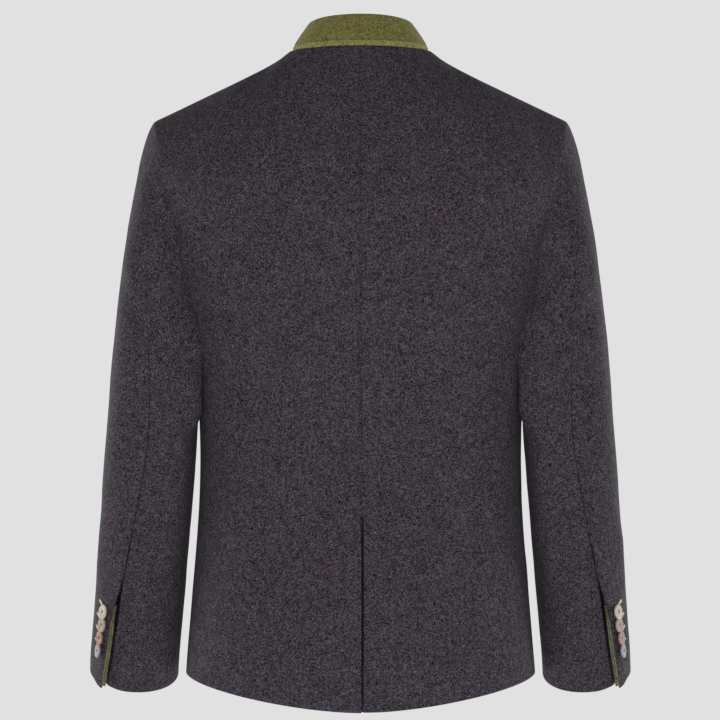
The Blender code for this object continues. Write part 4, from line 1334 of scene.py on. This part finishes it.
def sleeve_at_height(turn, z):
    """How far along the sleeve a height is reached at a turn."""
    top = armhole_place(turn)[0].z - SLEEVE_CAP_DROP
    return 1 + (z - top) / (cuff_height(turn) - top)


def front_place(x, z):
    """The front panel's face and normal at a place near the centre line, by halving its level."""
    low, high = 0.0, 3.0
    for _ in range(40):
        middle = (low + high) / 2
        if body_point(False, x / spread(False, middle), middle).z < z:
            low = middle
        else:
            high = middle
    across = x / spread(False, low)
    return body_point(False, across, low), body_normal(False, across, low)


def cuff_button_places():
    """The left cuff's four buttons: turn, share along the sleeve, point and normal."""
    places = []
    for index, turn in enumerate(CUFF_BUTTON_TURNS):
        along = sleeve_at_height(turn, CUFF_BUTTON_FIRST_Z + CUFF_BUTTON_STEP_Z * index)
        places.append((turn, along, lifted_place(turn, along)))
    return places


def build_cuff_buttons(horns, thread):
    first_horn = horns[CUFF_HORNS["left"][0]]
    model = turned_button("cuff_button_model", CUFF_BUTTON_RADIUS, CUFF_BUTTON_HEIGHT, first_horn, thread)
    buttons = {}
    for side, sign in SIDES:
        for index, (_, _, place) in enumerate(cuff_button_places()):
            node = f"cuff_button_{side}_{index + 1}"
            buttons[node] = set_button(
                f"{node}_turned", model, horns[CUFF_HORNS[side][index]], on_side(place, sign),
                BUTTON_BACK * CUFF_BUTTON_RADIUS, CUFF_BUTTON_TILT,
                -math.radians(CUFF_BUTTON_YAWS[index]) * sign, BUTTON_SPINS[index] * sign,
            )
    bpy.data.objects.remove(model)
    return buttons


def build_front_buttons(horn, thread):
    model = turned_button("front_button_model", FRONT_BUTTON_RADIUS, FRONT_BUTTON_HEIGHT, horn, thread)
    buttons = {}
    for index in range(FRONT_BUTTON_COUNT):
        point, normal = front_place(0.0, FRONT_BUTTON_FIRST_Z + FRONT_BUTTON_STEP_Z * index)
        node = f"front_button_{index + 1}"
        seat = (point + normal * FRONT_LAP_RISE, normal)
        spin = FRONT_BUTTON_SPIN + FRONT_BUTTON_SPIN_STEP * index
        buttons[node] = set_button(f"{node}_turned", model, horn, seat, 0.0, 0.0, 0.0, spin)
    bpy.data.objects.remove(model)
    return buttons


def worked_hole(name, start, end, normal, finish):
    """A buttonhole's purled edge: a narrow loop of thread round a slit."""
    along = (end - start).normalized()
    aside = along.cross(normal).normalized()
    length = (end - start).length
    path = []
    for side in (1, -1):
        for i in range(HOLE_STEPS + 1):
            share = i / HOLE_STEPS if side > 0 else 1 - i / HOLE_STEPS
            width = HOLE_HALF_WIDTH * (0.75 + 0.25 * math.sin(math.pi * share))
            path.append(start + along * length * share + aside * side * width + normal * HOLE_THREAD * 0.6)
    return tube(name, path, HOLE_THREAD, finish, closed=True)


def build_cuff_holes(side, sign, finish):
    """Four slanting buttonholes, each running in under its button from outside and above."""
    holes = []
    for index, (turn, along, (centre, normal)) in enumerate(cuff_button_places()):
        around = (lifted_place(turn + 1, along)[0] - centre).normalized()
        up = abs(normal.cross(around).normalized().z)
        ends = []
        for out, rise in (CUFF_HOLE_NEAR, CUFF_HOLE_FAR):
            out_turn = turn + (out + CUFF_HOLE_OUTER[index]) / metres_per_degree(turn, along)
            out_along = sleeve_at_height(out_turn, centre.z + rise * up)
            ends.append(mirror_x(lifted_place(out_turn, out_along)[0], sign))
        holes.append(worked_hole(f"cuff_hole_{side}_{index}", *ends, mirror_x(normal, sign), finish))
    return joined(f"cuff_buttonholes_{side}", holes)


def build_front_holes(finish):
    holes = []
    for index in range(FRONT_BUTTON_COUNT):
        z = FRONT_BUTTON_FIRST_Z + FRONT_BUTTON_STEP_Z * index
        normal = front_place(0.0, z)[1]
        ends = [front_place(x, z)[0] + normal * FRONT_LAP_RISE for x in FRONT_HOLE_ENDS]
        holes.append(worked_hole(f"front_hole_{index}", *ends, normal, finish))
    return joined("front_buttonholes", holes)


def build_collar_stitches(finish):
    """The row of small stitches along the top of the collar's seam band, in one piece."""
    end = collar_end_turn() - COLLAR_STITCH_END
    rise = COLLAR_STITCH_LINE / collar_height()
    turns, turn = [], -end
    while turn < end:
        turns.append(turn)
        turn += COLLAR_STITCH / collar_speed(min(abs(turn), 1.95) + STEP)
    points, faces = [], []
    for first, second in zip(turns, turns[1:]):
        ends = [(first + (second - first) * share, 0.0) for share in STITCH_SHARES]
        add_stitch(points, faces, collar_places(ends, [(rise, 0.0)])[0])
    return mesh_piece("collar_topstitch", points, faces, finish)


def add_stitch(points, faces, ends):
    """One stitch: a short six-sided bead along its places, closed at both ends."""
    start = len(points)
    sides = range(STITCH_SIDES)
    run = (ends[-1][0] - ends[0][0]).normalized()
    for (point, normal, _), size in zip(ends, STITCH_SIZES):
        side = run.cross(normal).normalized()
        middle = point + normal * STITCH_THREAD * (0.9 * size - 0.2)
        for i in sides:
            angle = i * 2 * math.pi / STITCH_SIDES
            out = side * math.cos(angle) + normal * math.sin(angle)
            points.append(middle + out * STITCH_THREAD * size)
    last = len(points) - STITCH_SIDES
    for ring in range(start, last, STITCH_SIDES):
        for i in sides:
            a, b = ring + i, ring + (i + 1) % STITCH_SIDES
            faces.append((a, b, b + STITCH_SIDES, a + STITCH_SIDES))
    faces.append(tuple(start + i for i in reversed(sides)))
    faces.append(tuple(last + i for i in sides))


class Value:
    """A socket that gives a number, so that finishes can be worked out as sums."""

    def __init__(self, finish, socket):
        self.finish = finish
        self.socket = socket

    def sum_with(self, operation, other):
        return self.finish.node("ShaderNodeMath", {"operation": operation}, {0: self, 1: other})

    def __add__(self, other):
        return self.sum_with("ADD", other)

    __radd__ = __add__

    def __sub__(self, other):
        return self.sum_with("SUBTRACT", other)

    def __mul__(self, other):
        return self.sum_with("MULTIPLY", other)


def opaque(colour):
    return colour if isinstance(colour, Value) else (*colour, 1)


class Finish:
    """One finish: its material, its shader and the nodes in front of it."""

    def __init__(self, name, **constants):
        self.material = bpy.data.materials.new(name)
        self.material.use_nodes = True
        self.tree = self.material.node_tree
        self.shader = self.tree.nodes["Principled BSDF"]
        for socket, value in constants.items():
            self.shader.inputs[socket.replace("_", " ")].default_value = value
        self.place = self.node("ShaderNodeTexCoord", {}, {}, "Object")

    def node(self, kind, settings, inputs, output=0):
        """Adds a node, sets it, fills its sockets with values or links, and gives one of its outputs."""
        made = self.tree.nodes.new(kind)
        for setting, value in settings.items():
            setattr(made, setting, value)
        for socket, value in inputs.items():
            if isinstance(value, Value):
                self.tree.links.new(value.socket, made.inputs[socket])
            else:
                made.inputs[socket].default_value = value
        return Value(self, made.outputs[output])

    def grain(self, size, detail=2.0, roughness=0.5, distortion=0.0, place=None):
        """A cloudy value whose lumps are about this size, in metres."""
        inputs = {
            "Vector": place or self.place, "Scale": 1 / size, "Detail": detail, "Roughness": roughness,
            "Distortion": distortion,
        }
        return self.node("ShaderNodeTexNoise", {"noise_dimensions": "3D"}, inputs, "Fac")

    def curls(self, size, width, place):
        """Thin curly lines, 1 on them and 0 between them, as single fibres lie on milled cloth."""
        cloud = self.grain(size, detail=1.0, roughness=0.6, distortion=1.2, place=place)
        away = self.node("ShaderNodeMath", {"operation": "ABSOLUTE"}, {0: cloud - 0.5})
        return self.ranged(away, 0.0, width, 1.0, 0.0)

    def moved(self, x, y, z, stretch=(1, 1, 1)):
        """The object's coordinates, shifted and stretched."""
        inputs = {"Vector": self.place, "Location": (x, y, z), "Scale": stretch}
        return self.node("ShaderNodeMapping", {"vector_type": "POINT"}, inputs, "Vector")

    def ranged(self, value, low, high, new_low, new_high):
        inputs = {"Value": value, "From Min": low, "From Max": high, "To Min": new_low, "To Max": new_high}
        return self.node("ShaderNodeMapRange", {"clamp": True}, inputs, "Result")

    def blend(self, factor, first, second):
        """One colour over another. A plain colour is given by its red, green and blue."""
        inputs = {"Factor": factor, 6: opaque(first), 7: opaque(second)}
        return self.node("ShaderNodeMix", {"data_type": "RGBA", "blend_type": "MIX"}, inputs, 2)

    def scaled(self, colour, amount):
        """A colour made lighter or darker by a value."""
        inputs = {0: colour, "Scale": amount}
        return self.node("ShaderNodeVectorMath", {"operation": "SCALE"}, inputs, "Vector")

    def bump(self, height, strength, distance):
        inputs = {"Height": height, "Strength": strength, "Distance": distance}
        return self.node("ShaderNodeBump", {}, inputs, "Normal")

    def feed(self, **links):
        for socket, value in links.items():
            self.tree.links.new(value.socket, self.shader.inputs[socket.replace("_", " ")])
        return self.material


# How light each finish is as a whole
WOOL_DEPTH = 0.302
GREEN_DEPTH = 0.54
HORN_DEPTH = 0.30
THREAD_DEPTH = 0.60

# The light and the deep green of the collar and the welts, and the painted highlight on the collar's band
COLLAR_GREENS = ((0.118, 0.108, 0.028), (0.124, 0.113, 0.039))
# How much lighter the collar's raised seam band is painted: a painted highlight
COLLAR_BAND_PAINTED_HIGHLIGHT = 0.60
WELT_GREENS = ((0.122, 0.127, 0.072), (0.078, 0.084, 0.043))

# The light tone of each thread, and the dark tone painted as shade in the twist between its plies
THREADS = {
    "olive": ((0.66, 0.63, 0.44), (0.36, 0.34, 0.20)),
    "collar": ((0.220, 0.212, 0.092), (0.150, 0.143, 0.055)),
    "brown": ((0.34, 0.27, 0.20), (0.17, 0.13, 0.09)),
}

# The light and the dark clouds of each horn, and its streaks
HORNS = {
    "cream": ((0.74, 0.69, 0.54), (0.60, 0.53, 0.36), (0.84, 0.81, 0.72)),
    "beige": ((0.54, 0.43, 0.35), (0.40, 0.31, 0.26), (0.66, 0.58, 0.50)),
    "amber": ((0.46, 0.27, 0.17), (0.35, 0.19, 0.12), (0.62, 0.45, 0.35)),
    "rose": ((0.46, 0.28, 0.24), (0.34, 0.20, 0.17), (0.62, 0.44, 0.40)),
    "shell": ((0.43, 0.38, 0.43), (0.31, 0.26, 0.32), (0.62, 0.58, 0.62)),
}
CUFF_HORNS = {"left": ("cream", "beige", "amber", "shell"), "right": ("cream", "beige", "rose", "shell")}


def melange_wool():
    """Milled charcoal wool: dark and light fibres mixed, warm and cool patches, and a short nap."""
    wool = Finish(
        "charcoal_melange_wool", Sheen_Weight=0.015, Sheen_Roughness=0.45, Sheen_Tint=(0.62, 0.58, 0.66, 1),
        Specular_IOR_Level=0.06,
    )
    fleck = wool.grain(0.0014, detail=2.0, roughness=0.65, distortion=0.8)
    fibre = wool.grain(0.0010, detail=1.0, distortion=2.2, place=wool.moved(0.31, 0.17, 0.53))
    long_curls = wool.curls(0.0038, 0.070, wool.moved(0.9, 3.1, 0.6))
    curls = long_curls + wool.curls(0.0028, 0.055, wool.moved(2.9, 1.4, 3.7))
    clump = wool.grain(0.0055, detail=1.0, place=wool.moved(1.7, 0.4, 0.9))
    patch = wool.grain(0.028, detail=2.0, place=wool.moved(0.2, 2.3, 1.1))
    hue = wool.grain(0.022, detail=1.0, place=wool.moved(4.1, 1.2, 0.3))
    light = (fleck - 0.5) * 9.0 + (fibre - 0.5) * 5.4 + (clump - 0.5) * 0.5 + (patch - 0.5) * 0.5 + 0.55
    light = light + curls * 1.9
    light = wool.ranged(light, 0.10, 6.0, 0.10, 6.0) * WOOL_DEPTH
    spot = wool.grain(0.0060, detail=1.0, place=wool.moved(3.3, 0.8, 2.4))
    cool = wool.ranged(hue * 0.9 + spot * 0.6, 0.58, 0.92, 0.0, 1.0)
    base = wool.blend(cool, (0.0500, 0.0362, 0.0446), (0.0384, 0.0385, 0.0464))
    blue = wool.ranged(clump * 0.8 + patch * 0.7, 0.68, 0.92, 0.0, 0.80)
    base = wool.blend(blue, base, (0.0425, 0.0352, 0.0535))
    tint = wool.ranged(fibre, 0.45, 0.72, 0.0, 1.0)
    base = wool.blend(tint, base, (0.0520, 0.0430, 0.0495))
    colour = wool.scaled(base, light)
    nap = wool.grain(0.0007, detail=1.0)
    height = fleck * 0.6 + fibre * 0.5 + nap * 0.3
    return wool.feed(
        Base_Color=colour,
        Roughness=wool.ranged(fleck, 0.3, 0.7, 0.98, 0.86),
        Normal=wool.bump(height, 0.45, 0.0006),
    )


def felted_green(name, light_green, deep_green, band=0.0):
    """Felted olive green wool of the collar and the welts. The band along the collar's seam is painted
    lighter, a painted highlight.
    """
    felt = Finish(
        name, Sheen_Weight=0.05, Sheen_Roughness=0.5, Sheen_Tint=(0.75, 0.76, 0.45, 1),
        Specular_IOR_Level=0.10,
    )
    fleck = felt.grain(0.0015, detail=2.0, roughness=0.65, distortion=0.8)
    clump = felt.grain(0.005, detail=1.0, place=felt.moved(1.3, 0.2, 0.8))
    patch = felt.grain(0.02, detail=1.0, place=felt.moved(0.6, 2.1, 1.4))
    light = (fleck - 0.5) * 4.0 + (clump - 0.5) * 0.5 + (patch - 0.5) * 0.3 + 1.0
    light = felt.ranged(light, 0.35, 2.6, 0.35, 2.6) * GREEN_DEPTH
    # Painted highlight: lighter along the collar's raised seam band, by the share written on its points
    if band:
        band_highlight = felt.node("ShaderNodeAttribute", {"attribute_name": "band_painted_highlight"}, {}, "Fac")
        light = light * (1.0 + band_highlight * band)
    base = felt.blend(felt.ranged(clump, 0.38, 0.62, 0.0, 1.0), light_green, deep_green)
    height = fleck * 0.8 + felt.grain(0.0007, detail=1.0) * 0.3
    return felt.feed(
        Base_Color=felt.scaled(base, light),
        Roughness=felt.ranged(fleck, 0.3, 0.7, 0.96, 0.84),
        Normal=felt.bump(height, 0.40, 0.0005),
    )


def turned_horn(name, light, dark, streak):
    """Polished horn or shell, streaked along one direction."""
    horn = Finish(name, Coat_Roughness=0.30, Specular_IOR_Level=0.05)
    along = horn.moved(0.4, 0.1, 0.7, (1, 1, 0.3))
    streaks = horn.grain(0.0022, detail=3.0, roughness=0.65, distortion=1.4, place=along)
    cloud = horn.grain(0.0075, detail=1.0, place=horn.moved(2.2, 0.5, 1.9))
    base = horn.blend(horn.ranged(cloud, 0.35, 0.65, 0.0, 1.0), light, dark)
    colour = horn.blend(horn.ranged(streaks, 0.52, 0.66, 0.0, 0.75), base, streak)
    fine = horn.grain(0.0006, detail=1.0)
    return horn.feed(
        Base_Color=horn.scaled(colour, (0.70 + streaks * 0.6) * HORN_DEPTH),
        Roughness=horn.ranged(streaks, 0.35, 0.65, 0.50, 0.66),
        Coat_Weight=horn.ranged(cloud, 0.3, 0.7, 0.015, 0.005),
        Normal=horn.bump(streaks * 0.7 + fine * 0.3, 0.15, 0.0003),
    )


def twisted_thread(name, light, dark):
    """Sewing thread, darker in the twist between its plies: painted shade."""
    thread = Finish(name, Sheen_Weight=0.15, Sheen_Roughness=0.4, Specular_IOR_Level=0.3)
    ply = thread.node(
        "ShaderNodeTexWave", {"wave_type": "BANDS", "bands_direction": "DIAGONAL"},
        {"Vector": thread.place, "Scale": 380.0, "Distortion": 1.5, "Detail": 1.0}, "Fac",
    )
    fuzz = thread.grain(0.0005, detail=1.0)
    height = ply * 0.7 + fuzz * 0.3
    # Painted shade: the colour darkens where this height is low, in the twist between the plies
    return thread.feed(
        Base_Color=thread.scaled(thread.blend(height, dark, light), THREAD_DEPTH),
        Roughness=thread.ranged(fuzz, 0.3, 0.7, 0.6, 0.8),
        Normal=thread.bump(height, 0.4, 0.0002),
    )


def pale_floor():
    floor = Finish("pale_floor", Specular_IOR_Level=0.2)
    cloud = floor.grain(0.6, detail=2.0)
    return floor.feed(
        Base_Color=floor.blend(cloud, (0.74, 0.74, 0.74), (0.78, 0.78, 0.78)),
        Roughness=floor.ranged(cloud, 0.3, 0.7, 0.75, 0.9),
    )


CAMERA_DISTANCE = 2.6
CAMERA_Z = -0.3445
CAMERA_LENS = 116.6
CAMERA_SHIFT = -0.5 / 720
FLOOR_Z = -1.45
FLOOR_RADIUS = 1.9
FLOOR_THICKNESS = 0.02
WORLD_GREY = 0.753


def set_camera():
    bpy.ops.object.camera_add(location=(0, CAMERA_DISTANCE, CAMERA_Z), rotation=(math.pi / 2, 0, math.pi))
    camera = bpy.context.object
    camera.data.lens = CAMERA_LENS
    camera.data.sensor_width = 36.0
    camera.data.shift_x = CAMERA_SHIFT
    bpy.context.scene.camera = camera


Softbox = namedtuple("Softbox", "name place aim width height power")
SOFTBOXES = (
    Softbox("side_left_box", (2.85, -0.75, -0.95), (0, 0, -0.40), 0.8, 0.8, 88),
    Softbox("side_right_box", (-2.85, -0.75, -0.95), (0, 0, -0.40), 0.8, 0.8, 84),
    Softbox("back_middle_box", (0.0, 3.2, -0.80), (0, 0, -0.38), 1.4, 1.0, 122),
    Softbox("front_left_box", (2.3, -2.3, -0.20), (0, 0, -0.38), 1.0, 1.5, 60),
    Softbox("front_right_box", (-2.3, -2.3, -0.20), (0, 0, -0.38), 1.0, 1.5, 56),
)


def light_scene():
    for box in SOFTBOXES:
        way = Vector(box.aim) - Vector(box.place)
        rotation = way.to_track_quat("-Z", "Y").to_euler()
        bpy.ops.object.light_add(type="AREA", location=box.place, rotation=rotation)
        light = bpy.context.object
        light.name = box.name
        light.data.shape = "RECTANGLE"
        light.data.size = box.width
        light.data.size_y = box.height
        light.data.energy = box.power
    world = bpy.data.worlds.new("pale_studio")
    world.use_nodes = True
    background = world.node_tree.nodes["Background"]
    background.inputs["Color"].default_value = (WORLD_GREY, WORLD_GREY, WORLD_GREY, 1)
    background.inputs["Strength"].default_value = 1.0
    bpy.context.scene.world = world
    bpy.context.scene.view_settings.view_transform = "Standard"


def build_floor():
    bpy.ops.mesh.primitive_circle_add(
        vertices=96, radius=FLOOR_RADIUS, fill_type="NGON", location=(0, 0, 0),
    )
    floor = bpy.context.object
    floor.name = "floor"
    edit_all(floor)
    bpy.ops.mesh.extrude_region_move(TRANSFORM_OT_translate={"value": (0, 0, FLOOR_THICKNESS)})
    bpy.ops.mesh.select_all(action="SELECT")
    bpy.ops.transform.translate(value=(0, 0, FLOOR_Z - FLOOR_THICKNESS))
    bpy.ops.mesh.normals_make_consistent(inside=False)
    bpy.ops.object.mode_set(mode="OBJECT")
    floor.data.materials.append(pale_floor())


def place_on_root(piece, slot, node=None):
    """Hangs a piece on the root and hides the solid that it stands for, if any. The slot is not used."""
    if node:
        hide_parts(node)
    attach(piece, "root")


def declare_sheets(cloth):
    """Hangs each sheet on the root and hides the solid that it stands for; its pattern is looked up but not
    used.
    """
    for node, piece in cloth.items():
        pattern = PATTERNS[node if node == "collar" else node.rsplit("_", 1)[0]]
        place_on_root(piece, "green_wool" if node == "collar" else "charcoal_wool", node)


def main():
    deselect_all()
    set_camera()
    wool = melange_wool()
    green = felted_green("felted_green_wool", *COLLAR_GREENS, COLLAR_BAND_PAINTED_HIGHLIGHT)
    welt_green = felted_green("welt_green_wool", *WELT_GREENS)
    threads = {name: twisted_thread(f"{name}_thread", *plies) for name, plies in THREADS.items()}
    horns = {name: turned_horn(f"{name}_horn", *colours) for name, colours in HORNS.items()}
    cloth = build_cloth(wool, green)
    welts = {side: build_welt(side, sign, welt_green) for side, sign in SIDES}
    holes = {side: build_cuff_holes(side, sign, threads["olive"]) for side, sign in SIDES}
    front_holes = build_front_holes(threads["olive"])
    stitches = build_collar_stitches(threads["collar"])
    buttons = build_cuff_buttons(horns, threads["brown"])
    buttons.update(build_front_buttons(horns["beige"], threads["brown"]))
    for node, button in buttons.items():
        place_on_root(button, "horn", node)
    for side, welt in welts.items():
        place_on_root(welt, "green_wool", f"cuff_piping_{side}")
        place_on_root(holes[side], "green_wool")
    for trim in (front_holes, stitches):
        place_on_root(trim, "green_wool")
    declare_sheets(cloth)
    build_floor()
    light_scene()


main()
